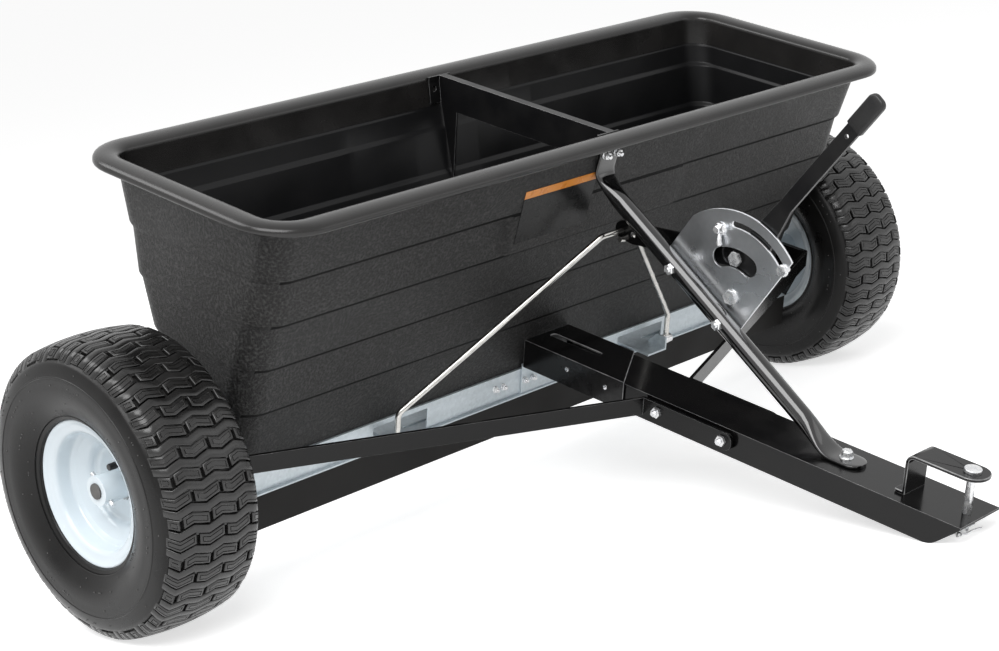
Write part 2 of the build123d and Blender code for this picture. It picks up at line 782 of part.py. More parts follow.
with BuildPart() as stay_tube:
    tube_low = Vector(0, stay_low[0], stay_low[1]) + Vector(stay_along) * stay_press
    tube_high = Vector(0, stay_top[0], stay_top[1]) - Vector(stay_along) * stay_press
    with BuildSketch(Plane(tube_low, x_dir=(1, 0, 0), z_dir=stay_along)):
        Circle(stay_diameter / 2)
    extrude(amount=(tube_high - tube_low).length)
    with BuildSketch(Plane(tube_high, x_dir=(1, 0, 0), z_dir=stay_along)):
        RectangleRounded(stay_diameter, stay_diameter, stay_diameter * 0.49)
    with BuildSketch(Plane((0, tab_foot_y, stay_tab_foot), x_dir=(1, 0, 0), z_dir=wall_up)):
        RectangleRounded(stay_tab_width, stay_flat, stay_flat * 0.49)
    loft()
    with BuildSketch(Plane((0, tab_foot_y, stay_tab_foot), x_dir=(1, 0, 0), z_dir=wall_up)):
        RectangleRounded(stay_tab_width, stay_flat, stay_flat * 0.49)
    extrude(amount=(stay_tab_top - stay_tab_foot) / wall_up.Z)
    foot_y = stay_low[0] - stay_fold
    foot_z = tongue_top + stay_flat / 2
    with BuildSketch(Plane(tube_low, x_dir=(1, 0, 0), z_dir=stay_along)):
        RectangleRounded(stay_diameter, stay_diameter, stay_diameter * 0.49)
    with BuildSketch(Plane((0, foot_y, foot_z), x_dir=(1, 0, 0), z_dir=(0, 1, 0))):
        RectangleRounded(stay_tab_width, stay_flat, stay_flat * 0.49)
    loft()
    with BuildSketch(Plane.XY.offset(tongue_top)):
        foot_round = stay_tab_width / 2
        with Locations((0, (foot_y + stay_foot_end + foot_round) / 2)):
            Rectangle(stay_tab_width, foot_y - stay_foot_end - foot_round)
        with Locations((0, stay_foot_end + foot_round)):
            Circle(foot_round)
    extrude(amount=stay_flat)
save(stay_tube, "stay_tube")

# Quadrant plate on the far side of the stay, with the lever's guide slot and the kidney slot
def slot_about_pivot(radius, half_width, first, last):
    """Corners and arcs of a curved slot, as a list of (inner start, inner middle, inner end, outer ...)."""
    middle = (first + last) / 2
    return [
        [about_pivot(radius - half_width, angle) for angle in (first, middle, last)],
        [about_pivot(radius + half_width, angle) for angle in (first, middle, last)],
    ]


def end_cap(radius, half_width, angle, way):
    """Outermost point of a curved slot's round end."""
    return about_pivot(radius, angle + way * degrees(half_width / radius))


stay_below = (plate_behind_stay * sin(stay_slope), -plate_behind_stay * cos(stay_slope))
with BuildPart() as quadrant_plate:
    with BuildSketch(Plane.YZ.offset(plate_near)):
        with BuildLine():
            arc_back = about_pivot(plate_radius, plate_back_angle)
            arc_front = about_pivot(plate_radius, plate_front_angle)
            arc_middle = about_pivot(plate_radius, (plate_back_angle + plate_front_angle) / 2)
            low_back = (plate_back_corner[0] + stay_below[0], plate_back_corner[1] + stay_below[1])
            low_front = (plate_low_corner[0] + stay_below[0], plate_low_corner[1] + stay_below[1])
            Polyline(arc_front, plate_low_corner, low_front, low_back, plate_back_corner, arc_back)
            ThreePointArc(arc_back, arc_middle, arc_front)
        make_face()
        for radius, half_width, angles in (
            (guide_radius, guide_width / 2, guide_angles),
            (kidney_radius, kidney_half_width, kidney_angles),
        ):
            inner, outer = slot_about_pivot(radius, half_width, *angles)
            with BuildLine():
                ThreePointArc(*inner)
                ThreePointArc(inner[2], end_cap(radius, half_width, angles[1], 1), outer[2])
                ThreePointArc(*reversed(outer))
                ThreePointArc(outer[0], end_cap(radius, half_width, angles[0], -1), inner[0])
            make_face(mode=Mode.SUBTRACT)
        with Locations((pivot_y, pivot_z)):
            Circle(pivot_bolt_diameter / 2 + running_clearance, mode=Mode.SUBTRACT)
        with Locations(about_pivot(wing_radius, wing_angle)):
            Circle(stop_diameter / 2 + running_clearance, mode=Mode.SUBTRACT)
    extrude(amount=plate_sheet)
save(quadrant_plate, "quadrant_plate")

# Bolts of the quadrant: the lever's pivot, the front stop and the wing nut's bolt
bolt_end = lever_far + side_gap
quadrant_bolts = [
    # name, radius about the pivot, angle about the pivot, shank, head across, head height
    ("pivot_bolt", 0, 0, pivot_bolt_diameter, pivot_head_diameter, pivot_head_height),
    ("stop_bolt", guide_radius, stop_angle, stop_diameter, stop_head_diameter, stop_head_height),
    ("wing_bolt", wing_radius, wing_angle, stop_diameter, stop_head_diameter, stop_head_height),
]
for name, radius, angle, shank, head, head_height in quadrant_bolts:
    with BuildPart() as bolt:
        centre = about_pivot(radius, angle)
        with BuildSketch(Plane.YZ.offset(plate_near - head_height)):
            with Locations(centre):
                RegularPolygon(head / 2, 6)
        extrude(amount=head_height)
        with BuildSketch(Plane.YZ.offset(plate_near)):
            with Locations(centre):
                Circle(shank / 2)
        extrude(amount=bolt_end - plate_near)
    save(bolt, name)

# Lever: a flat plate with an eye at the pivot and an ear for the link's bolt, which narrows to a bar
link_bolt_at = about_pivot(kidney_radius, kidney_bolt_angle)
lever_bend = about_pivot(lever_bend_radius, lever_low_angle)


def along_bar(distance):
    """Point (y, z) on the middle line of the lever's bar, at a distance past its bend."""
    return (
        lever_bend[0] - distance * sin(radians(lever_high_angle)),
        lever_bend[1] + distance * cos(radians(lever_high_angle)),
    )


bar_place = Location(along_bar(lever_length / 2), 90 + lever_high_angle)
with BuildPart() as lever_bar:
    with BuildSketch(Plane.YZ.offset(lever_near)):
        for centre, radius in (
            ((pivot_y, pivot_z), lever_eye),
            (link_bolt_at, lever_ear),
            (lever_bend, lever_width / 2),
        ):
            with Locations(centre):
                Circle(radius)
        make_hull()
    extrude(amount=lever_sheet)
    with BuildSketch(Plane.YZ.offset(lever_near)):
        with Locations(bar_place):
            SlotCenterToCenter(lever_length, lever_width)
    extrude(amount=lever_sheet)
    with BuildSketch(Plane.YZ.offset(lever_near)):
        for centre, diameter in (
            ((pivot_y, pivot_z), pivot_bolt_diameter + 2 * running_clearance),
            (link_bolt_at, kidney_bolt_diameter + 2 * running_clearance),
            (along_bar(lever_hole_place), lever_hole_diameter),
        ):
            with Locations(centre):
                Circle(diameter / 2)
    extrude(amount=lever_sheet, mode=Mode.SUBTRACT)
save(lever_bar, "lever_bar")

grip_end = along_bar(lever_length + lever_width / 2 + grip_wall)
grip_plane = Plane(
    ((lever_near + lever_far) / 2, grip_end[0], grip_end[1]),
    x_dir=(1, 0, 0),
    z_dir=(0, -sin(radians(lever_high_angle)), cos(radians(lever_high_angle))),
)
with BuildPart() as lever_grip:
    with BuildSketch(grip_plane):
        RectangleRounded(lever_sheet + 2 * grip_wall, lever_width + 2 * grip_wall, grip_wall)
    extrude(amount=-grip_length)
    fillet(lever_grip.faces().sort_by(Axis.Z)[-1].edges(), radius=grip_round)
    with BuildSketch(Plane.YZ.offset(lever_near)):
        with Locations(bar_place):
            SlotCenterToCenter(lever_length, lever_width)
    extrude(amount=lever_sheet, mode=Mode.SUBTRACT)
save(lever_grip, "lever_grip")

with BuildPart() as link_bolt:
    with BuildSketch(Plane.YZ.offset(plate_near - side_gap - kidney_head_height)):
        with Locations(link_bolt_at):
            RegularPolygon(kidney_head_diameter / 2, 6)
    extrude(amount=kidney_head_height)
    with BuildSketch(Plane.YZ.offset(plate_near - side_gap)):
        with Locations(link_bolt_at):
            Circle(kidney_bolt_diameter / 2)
    extrude(amount=side_gap + link_far - plate_near + side_gap)
save(link_bolt, "link_bolt")

# Link bar from the lever back to the two rods
with BuildPart() as link_bar:
    with BuildSketch(Plane.YZ.offset(link_near)):
        for hole in (link_left_hole, link_right_hole):
            with Locations(hole):
                Circle(link_width / 2)
        with Locations(link_bolt_at):
            Circle(link_front_eye)
        make_hull()
    extrude(amount=link_sheet)
    with BuildSketch(Plane.YZ.offset(link_near)):
        for hole in (link_left_hole, link_right_hole):
            with Locations(hole):
                Circle(rod_diameter / 2 + rod_fit)
        with Locations(link_bolt_at):
            Circle(kidney_bolt_diameter / 2 + link_front_slack)
    extrude(amount=link_sheet, mode=Mode.SUBTRACT)
save(link_bar, "link_bar")

# Rods from the link bar down to the shutter's two ears
rods = [
    # name, x of its low bend, how far its knee is from the link bar, hole in the link bar
    ("left", rod_left_x, rod_left_knee, link_left_hole),
    ("right", rod_right_x, rod_right_knee, link_right_hole),
]
for name, low_x, knee, hole in rods:
    side = 1 if low_x > 0 else -1
    hook_x = link_near - rod_hook if side > 0 else link_far + rod_hook
    with BuildPart() as rod:
        with BuildLine():
            FilletPolyline(
                (hook_x, hole[0], hole[1]),
                (side * knee + link_near, hole[0], hole[1]),
                (low_x, rod_low_y, rod_low_z),
                (low_x, rod_low_y, rod_foot_z - clamp_diameter / 2),
                radius=rod_bend,
            )
        with BuildSketch(Plane((hook_x, hole[0], hole[1]), x_dir=(0, 1, 0), z_dir=(side, 0, 0))):
            Circle(rod_diameter / 2)
        sweep()
    save(rod, f"rod_{name}")

    with BuildPart() as clamp:
        with BuildSketch(Plane.YZ.offset(low_x - clamp_length / 2)):
            with Locations((rod_low_y, rod_foot_z)):
                Circle(clamp_diameter / 2)
        extrude(amount=clamp_length)
        with BuildSketch(Plane.XY.offset(rod_foot_z - clamp_diameter)):
            with Locations((low_x, rod_low_y)):
                Circle(rod_diameter / 2)
        extrude(amount=2 * clamp_diameter, mode=Mode.SUBTRACT)
    save(clamp, f"rod_clamp_{name}")

    with BuildPart() as ear:
        ear_x = low_x - side * clamp_length / 2
        foot_x = ear_x - side * foot_width / 2
        foot_front = rod_low_y - ear_width / 2
        foot_back = trough_front + trough_half_width
        with BuildSketch(Plane.XY.offset(shutter_high)):
            with Locations((foot_x, (foot_front + foot_back) / 2)):
                Rectangle(foot_width, foot_back - foot_front)
        extrude(amount=ear_sheet)
        with BuildSketch(Plane.YZ.offset(ear_x)):
            with BuildLine():
                Polyline(
                    (foot_front, shutter_high),
                    (foot_front, rod_foot_z + clamp_diameter / 2),
                    (foot_front + ear_width, rod_foot_z + clamp_diameter / 2),
                    (trough_front + trough_sheet, shutter_high),
                    close=True,
                )
            make_face()
        extrude(amount=-side * ear_sheet)
    save(ear, f"shutter_ear_{name}")

# Shutters: a plate on each half of the trough's floor, its slots half over the outlets at rest
shutter_front_edge = hopper_y - trough_inside + moving_clearance + shutter_forward
shutter_back_edge = hopper_y + trough_inside - moving_clearance - shutter_back
for side, name in ((-1, "left"), (1, "right")):
    with BuildPart() as shutter:
        with BuildSketch(Plane.XY.offset(shutter_low)):
            with Locations((side * shutter_half_length / 2, (shutter_front_edge + shutter_back_edge) / 2)):
                Rectangle(shutter_half_length, shutter_back_edge - shutter_front_edge)
            with Locations((side * outlet_row_centre, hopper_y + shutter_forward)):
                with GridLocations(outlet_pitch, 1, outlets_per_plate, 1):
                    Rectangle(outlet_length, outlet_width, mode=Mode.SUBTRACT)
        extrude(amount=trough_sheet)
    save(shutter, f"shutter_{name}")
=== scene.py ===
import bpy
import json
from math import acos, atan2, cos, degrees, hypot, pi, radians, sin
from mathutils import Euler, Matrix, Vector


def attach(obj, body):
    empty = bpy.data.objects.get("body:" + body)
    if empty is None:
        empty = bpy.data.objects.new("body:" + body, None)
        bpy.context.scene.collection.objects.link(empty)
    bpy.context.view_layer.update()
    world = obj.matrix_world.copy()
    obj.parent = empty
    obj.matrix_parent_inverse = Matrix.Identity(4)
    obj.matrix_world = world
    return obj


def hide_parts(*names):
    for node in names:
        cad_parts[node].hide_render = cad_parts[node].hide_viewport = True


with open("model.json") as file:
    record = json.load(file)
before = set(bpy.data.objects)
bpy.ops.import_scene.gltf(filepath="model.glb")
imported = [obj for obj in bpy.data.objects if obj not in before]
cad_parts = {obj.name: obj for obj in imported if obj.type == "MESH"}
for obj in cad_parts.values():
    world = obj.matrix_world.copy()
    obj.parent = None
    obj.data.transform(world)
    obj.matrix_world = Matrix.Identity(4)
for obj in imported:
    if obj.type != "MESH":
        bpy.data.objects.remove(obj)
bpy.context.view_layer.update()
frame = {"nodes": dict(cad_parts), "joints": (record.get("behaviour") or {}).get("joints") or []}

# Shapes are written in millimetres about the middle of the axle, with the machine level,
# and leaned forward as it stands parked: +X right, +Y back, +Z up
joints = {joint["name"]: joint for joint in frame["joints"]}
axlePlace = Vector(joints["axle_turn"]["pos_m"])
slideAxis = joints["gate_slide"]["axis"]
parkAngle = atan2(-slideAxis[2], -slideAxis[1])
lean = Matrix.Translation(axlePlace) @ Matrix.Rotation(parkAngle, 4, "X")
parked = lean @ Matrix.Scale(0.001, 4)
print("frame loaded, parked at", round(degrees(parkAngle), 2), "degrees")


# Shader node groups shared by the finishes

def addNode(tree, kind, inputs=None, **values):
    node = tree.nodes.new(kind)
    for key, value in values.items():
        setattr(node, key, value)
    for socket, value in (inputs or {}).items():
        node.inputs[socket].default_value = value
    return node


def wire(tree, *links):
    # Each link: node, its output, next node, that one's input
    for source, output, target, socket in links:
        tree.links.new(source.outputs[output], target.inputs[socket])


def newGroup(name, inputs, outputs):
    # inputs: socket and its first value, outputs: socket and its kind
    group = bpy.data.node_groups.new(name, "ShaderNodeTree")
    for title, value in inputs.items():
        kind = "NodeSocketFloat" if isinstance(value, float) else "NodeSocketColor"
        group.interface.new_socket(name=title, in_out="INPUT", socket_type=kind).default_value = value
    for title, kind in outputs.items():
        group.interface.new_socket(name=title, in_out="OUTPUT", socket_type="NodeSocket" + kind)
    return group, addNode(group, "NodeGroupInput"), addNode(group, "NodeGroupOutput")


def mixColors(tree, factor, first, second):
    # first and second: an output socket or a plain colour
    mix = addNode(tree, "ShaderNodeMix", data_type="RGBA")
    tree.links.new(factor, mix.inputs["Factor"])
    for slot, source in ((6, first), (7, second)):
        if isinstance(source, tuple):
            mix.inputs[slot].default_value = source
        else:
            tree.links.new(source, mix.inputs[slot])
    return mix.outputs[2]


# Uneven tone: two colours mixed by soft clouds, and a roughness that drifts with them
group, start, end = newGroup(
    "unevenTone",
    {"Color": (1, 1, 1, 1), "Second Color": (1, 1, 1, 1), "Scale": 20.0, "Roughness Low": 0.3, "Roughness High": 0.5},
    {"Color": "Color", "Roughness": "Float", "Mask": "Float"})
place = addNode(group, "ShaderNodeTexCoord")
clouds = addNode(group, "ShaderNodeTexNoise", {"Detail": 4})
spread = addNode(group, "ShaderNodeMapRange", {"From Min": 0.35, "From Max": 0.65})
rough = addNode(group, "ShaderNodeMapRange")
wire(group, (place, "Object", clouds, "Vector"), (start, "Scale", clouds, "Scale"), (clouds, "Fac", spread, "Value"),
     (spread, "Result", rough, "Value"), (start, "Roughness Low", rough, "To Min"),
     (start, "Roughness High", rough, "To Max"), (rough, "Result", end, "Roughness"), (spread, "Result", end, "Mask"))
mixed = mixColors(group, spread.outputs["Result"], start.outputs["Color"], start.outputs["Second Color"])
group.links.new(mixed, end.inputs["Color"])
toneGroup = group

# Moulded grain: small rounded pebbles broken up by finer noise
group, start, end = newGroup(
    "mouldedGrain", {"Pebbles": 600.0, "Fine": 1500.0, "Fine Share": 0.3}, {"Height": "Float"})
place = addNode(group, "ShaderNodeTexCoord")
pebbles = addNode(group, "ShaderNodeTexVoronoi", feature="SMOOTH_F1")
fine = addNode(group, "ShaderNodeTexNoise")
blend = addNode(group, "ShaderNodeMix", data_type="FLOAT")
wire(group, (place, "Object", pebbles, "Vector"), (start, "Pebbles", pebbles, "Scale"),
     (place, "Object", fine, "Vector"), (start, "Fine", fine, "Scale"), (start, "Fine Share", blend, 0),
     (pebbles, "Distance", blend, 2), (fine, "Fac", blend, 3), (blend, 0, end, "Height"))
grainGroup = group

# Painted edge highlight: a mask of the sharp outward edges, broken up by noise, where a finish takes a lighter tint
group, start, end = newGroup("paintedEdgeHighlight", {"Sharpness": 0.53, "Amount": 0.6}, {"Mask": "Float"})
shape = addNode(group, "ShaderNodeNewGeometry")
place = addNode(group, "ShaderNodeTexCoord")
breaks = addNode(group, "ShaderNodeTexNoise", {"Scale": 90})
sharp = addNode(group, "ShaderNodeMapRange", {"From Max": 0.64})
broken = addNode(group, "ShaderNodeMath", operation="MULTIPLY")
scaled = addNode(group, "ShaderNodeMath", operation="MULTIPLY")
wire(group, (place, "Object", breaks, "Vector"), (shape, "Pointiness", sharp, "Value"),
     (start, "Sharpness", sharp, "From Min"), (sharp, "Result", broken, 0), (breaks, "Fac", broken, 1),
     (broken, "Value", scaled, 0), (start, "Amount", scaled, 1), (scaled, "Value", end, "Mask"))
edgeHighlightGroup = group

# Rolled sheet: long streaks along X with a fine spangle
group, start, end = newGroup(
    "rolledSheet", {"Streaks": 30.0, "Spangle": 160.0, "Spangle Share": 0.4}, {"Mask": "Float"})
place = addNode(group, "ShaderNodeTexCoord")
stretch = addNode(group, "ShaderNodeMapping", {"Scale": (0.12, 1, 1)})
streaks = addNode(group, "ShaderNodeTexNoise")
spangle = addNode(group, "ShaderNodeTexVoronoi")
blend = addNode(group, "ShaderNodeMix", data_type="FLOAT")
wire(group, (place, "Object", stretch, "Vector"), (stretch, "Vector", streaks, "Vector"),
     (place, "Object", spangle, "Vector"), (start, "Streaks", streaks, "Scale"), (start, "Spangle", spangle, "Scale"),
     (start, "Spangle Share", blend, 0), (streaks, "Fac", blend, 2), (spangle, "Color", blend, 3),
     (blend, 0, end, "Mask"))
sheetGroup = group
print("shader groups ready")


# Finishes: each is one Principled shader fed by the groups

def makeFinish(name, values):
    material = bpy.data.materials.new(name)
    material.use_nodes = True
    tree = material.node_tree
    shader = tree.nodes["Principled BSDF"]
    for title, key in (("Metallic", "metallic"), ("Coat Weight", "coat"), ("Coat Roughness", "coatRoughness"),
                       ("Specular IOR Level", "specular")):
        if key in values:
            shader.inputs[title].default_value = values[key]
    tone = addNode(tree, "ShaderNodeGroup", {
        "Color": (*values["color"], 1), "Second Color": (*values["second"], 1), "Scale": values["clouds"],
        "Roughness Low": values["rough"][0], "Roughness High": values["rough"][1]}, node_tree=toneGroup)
    color = tone.outputs["Color"]
    if "sheet" in values:
        streaks, spangle, share, tint = values["sheet"]
        sheet = addNode(tree, "ShaderNodeGroup", {"Streaks": streaks, "Spangle": spangle, "Spangle Share": share},
                        node_tree=sheetGroup)
        color = mixColors(tree, sheet.outputs["Mask"], color, (*tint, 1))
    # sharp edges take a lighter tint, a painted highlight
    if "edge" in values:
        sharpness, amount, tint = values["edge"]
        edge = addNode(tree, "ShaderNodeGroup", {"Sharpness": sharpness, "Amount": amount}, node_tree=edgeHighlightGroup)
        color = mixColors(tree, edge.outputs["Mask"], color, (*tint, 1))
    pebbles, fineGrain, share, depth = values["grain"]
    grain = addNode(tree, "ShaderNodeGroup", {"Pebbles": pebbles, "Fine": fineGrain, "Fine Share": share},
                    node_tree=grainGroup)
    bump = addNode(tree, "ShaderNodeBump", {"Distance": depth, "Strength": 1})
    # the raised grain takes a lighter tint, a painted sparkle highlight, and its pits stay darker as painted shade
    if "paintedSparkle" in values:
        (low, high), tint = values["paintedSparkle"]
        sparkleMask = addNode(tree, "ShaderNodeMapRange", {"From Min": low, "From Max": high})
        wire(tree, (grain, "Height", sparkleMask, "Value"))
        color = mixColors(tree, sparkleMask.outputs["Result"], color, (*tint, 1))
    tree.links.new(color, shader.inputs["Base Color"])
    wire(tree, (tone, "Roughness", shader, "Roughness"), (grain, "Height", bump, "Height"),
         (bump, "Normal", shader, "Normal"))
    return material


# color, second, clouds, rough: the two colours of the uneven tone, its scale and its two roughnesses
# grain: pebbles, fine grain, share of the fine, depth in metres; speck: heights of the grain that take a lighter tint,
# a painted sparkle highlight on the raised grain that leaves its pits darker as painted shade
# edge: sharpness, amount and tint of a painted highlight along sharp edges; sheet: streaks, spangle, share of the
# spangle, tint
finishes = {
    "hopperPebbled": {"color": (0.0060, 0.0058, 0.0058), "second": (0.0100, 0.0096, 0.0094), "clouds": 9,
                      "rough": (0.34, 0.44), "specular": 0.24, "grain": (330, 1150, 0.62, 0.0018),
                      "paintedSparkle": ((0.45, 0.60), (0.052, 0.051, 0.050))},
    # a darker copy of the hopper plastic for the faces under the steps, painted shade
    "hopperStepShade": {"color": (0.0020, 0.0020, 0.0020), "second": (0.0030, 0.0030, 0.0030), "clouds": 9,
                   "rough": (0.55, 0.65), "specular": 0.08, "grain": (330, 1150, 0.62, 0.0008)},
    "hopperSmooth": {"color": (0.0100, 0.0095, 0.0092), "second": (0.0140, 0.0130, 0.0125), "clouds": 14,
                     "rough": (0.20, 0.28), "specular": 0.42, "grain": (420, 1500, 0.7, 0.00006)},
    "hopperInside": {"color": (0.0050, 0.0051, 0.0056), "second": (0.0075, 0.0075, 0.0080), "clouds": 11,
                     "rough": (0.30, 0.38), "specular": 0.20, "grain": (420, 1500, 0.7, 0.00005)},
    # the black paints lighten their sharp edges, a painted highlight
    "glossBlack": {"color": (0.0025, 0.0025, 0.0028), "second": (0.0040, 0.0038, 0.0038), "clouds": 25,
                   "rough": (0.14, 0.22), "specular": 0.22, "coat": 0.08, "coatRoughness": 0.08,
                   "edge": (0.575, 0.9, (0.16, 0.16, 0.16)), "grain": (90, 500, 0.6, 0.00008)},
    # a lighter, glossier copy of the black paint for the faces of the rounded edges, a painted highlight
    "edgeHighlightBlack": {"color": (0.13, 0.13, 0.135), "second": (0.32, 0.32, 0.32), "clouds": 60,
                  "rough": (0.16, 0.26), "specular": 0.5, "coat": 0.3, "coatRoughness": 0.08,
                  "grain": (300, 900, 0.6, 0.00004)},
    "tubeBlack": {"color": (0.0025, 0.0025, 0.0028), "second": (0.0040, 0.0038, 0.0038), "clouds": 25,
                  "rough": (0.10, 0.16), "specular": 0.45, "coat": 0.8, "coatRoughness": 0.06,
                  "grain": (60, 400, 0.5, 0.00006)},
    "satinBlack": {"color": (0.0045, 0.0045, 0.0050), "second": (0.0065, 0.0063, 0.0065), "clouds": 25,
                   "rough": (0.30, 0.40), "specular": 0.25,
                   "edge": (0.57, 0.9, (0.12, 0.12, 0.12)), "grain": (260, 900, 0.5, 0.00008)},
    "galvanised": {"color": (0.38, 0.43, 0.455), "second": (0.49, 0.545, 0.575), "clouds": 12, "rough": (0.36, 0.50),
                   "metallic": 0.55, "sheet": (60, 240, 0.35, (0.68, 0.74, 0.78)), "grain": (300, 1200, 0.5, 0.00006)},
    "zincPlate": {"color": (0.56, 0.58, 0.60), "second": (0.64, 0.66, 0.68), "clouds": 9, "rough": (0.26, 0.34),
                  "metallic": 1.0, "sheet": (120, 500, 0.12, (0.72, 0.73, 0.75)), "grain": (350, 1400, 0.6, 0.00001)},
    "zincBolt": {"color": (0.66, 0.67, 0.69), "second": (0.82, 0.82, 0.82), "clouds": 160, "rough": (0.18, 0.34),
                 "metallic": 0.8, "grain": (900, 2400, 0.5, 0.00001)},
    "rodSteel": {"color": (0.48, 0.47, 0.45), "second": (0.66, 0.65, 0.62), "clouds": 60, "rough": (0.18, 0.30),
                 "metallic": 1.0, "grain": (700, 2000, 0.5, 0.00001)},
    "axleSteel": {"color": (0.085, 0.082, 0.080), "second": (0.15, 0.145, 0.14), "clouds": 70, "rough": (0.38, 0.55),
                  "metallic": 0.9, "grain": (500, 1600, 0.5, 0.00006)},
    "skirtGrey": {"color": (0.0075, 0.0070, 0.0066), "second": (0.0115, 0.0108, 0.0102), "clouds": 12,
                  "rough": (0.45, 0.60), "specular": 0.16, "grain": (500, 1500, 0.6, 0.00010)},
    "rimPaint": {"color": (0.63, 0.70, 0.745), "second": (0.67, 0.74, 0.785), "clouds": 10, "rough": (0.20, 0.28),
                 "specular": 0.5, "coat": 0.4, "coatRoughness": 0.06, "grain": (120, 700, 0.6, 0.00006)},
    "weldGrey": {"color": (0.22, 0.23, 0.24), "second": (0.55, 0.57, 0.58), "clouds": 420, "rough": (0.35, 0.55),
                 "metallic": 0.6, "grain": (1200, 3000, 0.5, 0.00030)},
    # lugs: a lighter copy of the tyre rubber, painted light on the tread, with a strong painted highlight on their
    # edges
    "tyreTreadLit": {"color": (0.0070, 0.0068, 0.0067), "second": (0.0130, 0.0126, 0.0124), "clouds": 30,
                  "rough": (0.20, 0.32), "specular": 0.55, "edge": (0.53, 4.0, (0.22, 0.218, 0.215)),
                  "grain": (500, 1600, 0.6, 0.00014)},
    # carcass and sidewalls: the darker copy of the same rubber, painted shade, with a weaker painted highlight on its
    # edges
    "tyreRubber": {"color": (0.0060, 0.0058, 0.0057), "second": (0.0100, 0.0096, 0.0094), "clouds": 18,
                   "rough": (0.24, 0.38), "specular": 0.22, "edge": (0.53, 2.6, (0.10, 0.099, 0.097)),
                   "grain": (500, 1600, 0.6, 0.00012)},
    "softRubber": {"color": (0.0070, 0.0070, 0.0075), "second": (0.0110, 0.0108, 0.0110), "clouds": 40,
                   "rough": (0.34, 0.46), "specular": 0.4, "grain": (700, 1800, 0.5, 0.00008)},
    "labelOrange": {"color": (0.74, 0.25, 0.028), "second": (0.80, 0.29, 0.034), "clouds": 60, "rough": (0.25, 0.32),
                    "grain": (800, 2000, 0.5, 0.00002)},
    "labelBlack": {"color": (0.0030, 0.0030, 0.0032), "second": (0.0050, 0.0050, 0.0050), "clouds": 60,
                   "rough": (0.22, 0.30), "specular": 0.2, "grain": (800, 2000, 0.5, 0.00002)},
}
finish = {name: makeFinish(name, values) for name, values in finishes.items()}
print("finishes ready:", len(finish))


# Mesh building: a shape holds points in level millimetres, faces, and the material slot of each face

def newShape():
    return {"points": [], "faces": [], "slots": []}


def addRings(shape, rings, startCap=False, endCap=False, slot=0, slotOf=None):
    # Closed rings of the same count, joined one to the next
    count = len(rings[0])
    first = len(shape["points"])
    last = first + (len(rings) - 1) * count
    for ring in rings:
        shape["points"].extend(tuple(point) for point in ring)
    for level in range(len(rings) - 1):
        here = first + level * count
        above = here + count
        for index in range(count):
            after = (index + 1) % count
            shape["faces"].append((here + index, here + after, above + after, above + index))
            shape["slots"].append(slotOf(level, index) if slotOf else slot)
    caps = [tuple(range(first + count - 1, first - 1, -1))] if startCap else []
    caps += [tuple(range(last, last + count))] if endCap else []
    for cap in caps:
        shape["faces"].append(cap)
        shape["slots"].append(slot)


def acrossOf(direction):
    direction = Vector(direction).normalized()
    side = Vector((0, 0, 1)) if abs(direction.z) < 0.9 else Vector((1, 0, 0))
    side = (side - direction * side.dot(direction)).normalized()
    return direction, side, direction.cross(side)


def circleOf(middle, side, other, radius, segments, turn=0):
    angles = [turn + 2 * pi * step / segments for step in range(segments)]
    return [middle + (side * cos(angle) + other * sin(angle)) * radius for angle in angles]


def squareOf(turn, power):
    # Point on a unit circle that a power below 1 squares up
    wide = abs(cos(turn)) ** power * (1 if cos(turn) >= 0 else -1)
    thick = abs(sin(turn)) ** power * (1 if sin(turn) >= 0 else -1)
    return wide, thick


def addTurned(shape, centre, direction, profile, segments=24, turn=0, slot=0):
    # profile: distance along the direction, radius
    direction, side, other = acrossOf(direction)
    rings = [circleOf(Vector(centre) + direction * along, side, other, radius, segments, turn)
             for along, radius in profile]
    addRings(shape, rings, startCap=True, endCap=True, slot=slot)


def addTube(shape, path, radii, segments=12):
    path = [Vector(point) for point in path]
    side = acrossOf(path[1] - path[0])[1]
    rings = []
    for index, point in enumerate(path):
        before = path[max(index - 1, 0)]
        after = path[min(index + 1, len(path) - 1)]
        direction = (after - before).normalized()
        side = (side - direction * side.dot(direction)).normalized()
        rings.append(circleOf(point, side, direction.cross(side), radii[index], segments))
    addRings(shape, rings, startCap=True, endCap=True)


def roundedPath(points, radius, steps=6):
    # A path whose corners are rounded to a radius
    points = [Vector(point) for point in points]
    path = [points[0]]
    for before, corner, after in zip(points, points[1:], points[2:]):
        toBefore = (before - corner).normalized()
        toAfter = (after - corner).normalized()
        half = acos(max(-1, min(1, toBefore.dot(toAfter)))) / 2
        reach = min(radius / max(sin(half) / cos(half), 0.01), (before - corner).length * 0.49,
                    (after - corner).length * 0.49)
        start, stop = corner + toBefore * reach, corner + toAfter * reach
        for step in range(steps + 1):
            share = step / steps
            path.append(start * (1 - share) ** 2 + corner * 2 * share * (1 - share) + stop * share ** 2)
    path.append(points[-1])
    return path


def addObject(name, data):
    thing = bpy.data.objects.new(name, data)
    bpy.context.scene.collection.objects.link(thing)
    return thing


def makePiece(name, shape, materials, body, sharp=32, replaced=()):
    mesh = bpy.data.meshes.new(name)
    mesh.from_pydata([parked @ Vector(point) for point in shape["points"]], [], shape["faces"])
    for material in materials:
        mesh.materials.append(finish[material])
    mesh.polygons.foreach_set("material_index", shape["slots"])
    mesh.validate()
    mesh.shade_smooth()
    mesh.set_sharp_from_angle(angle=radians(sharp))
    mesh.update()
    piece = addObject(name, mesh)
    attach(piece, body)
    if replaced:
        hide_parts(*replaced)


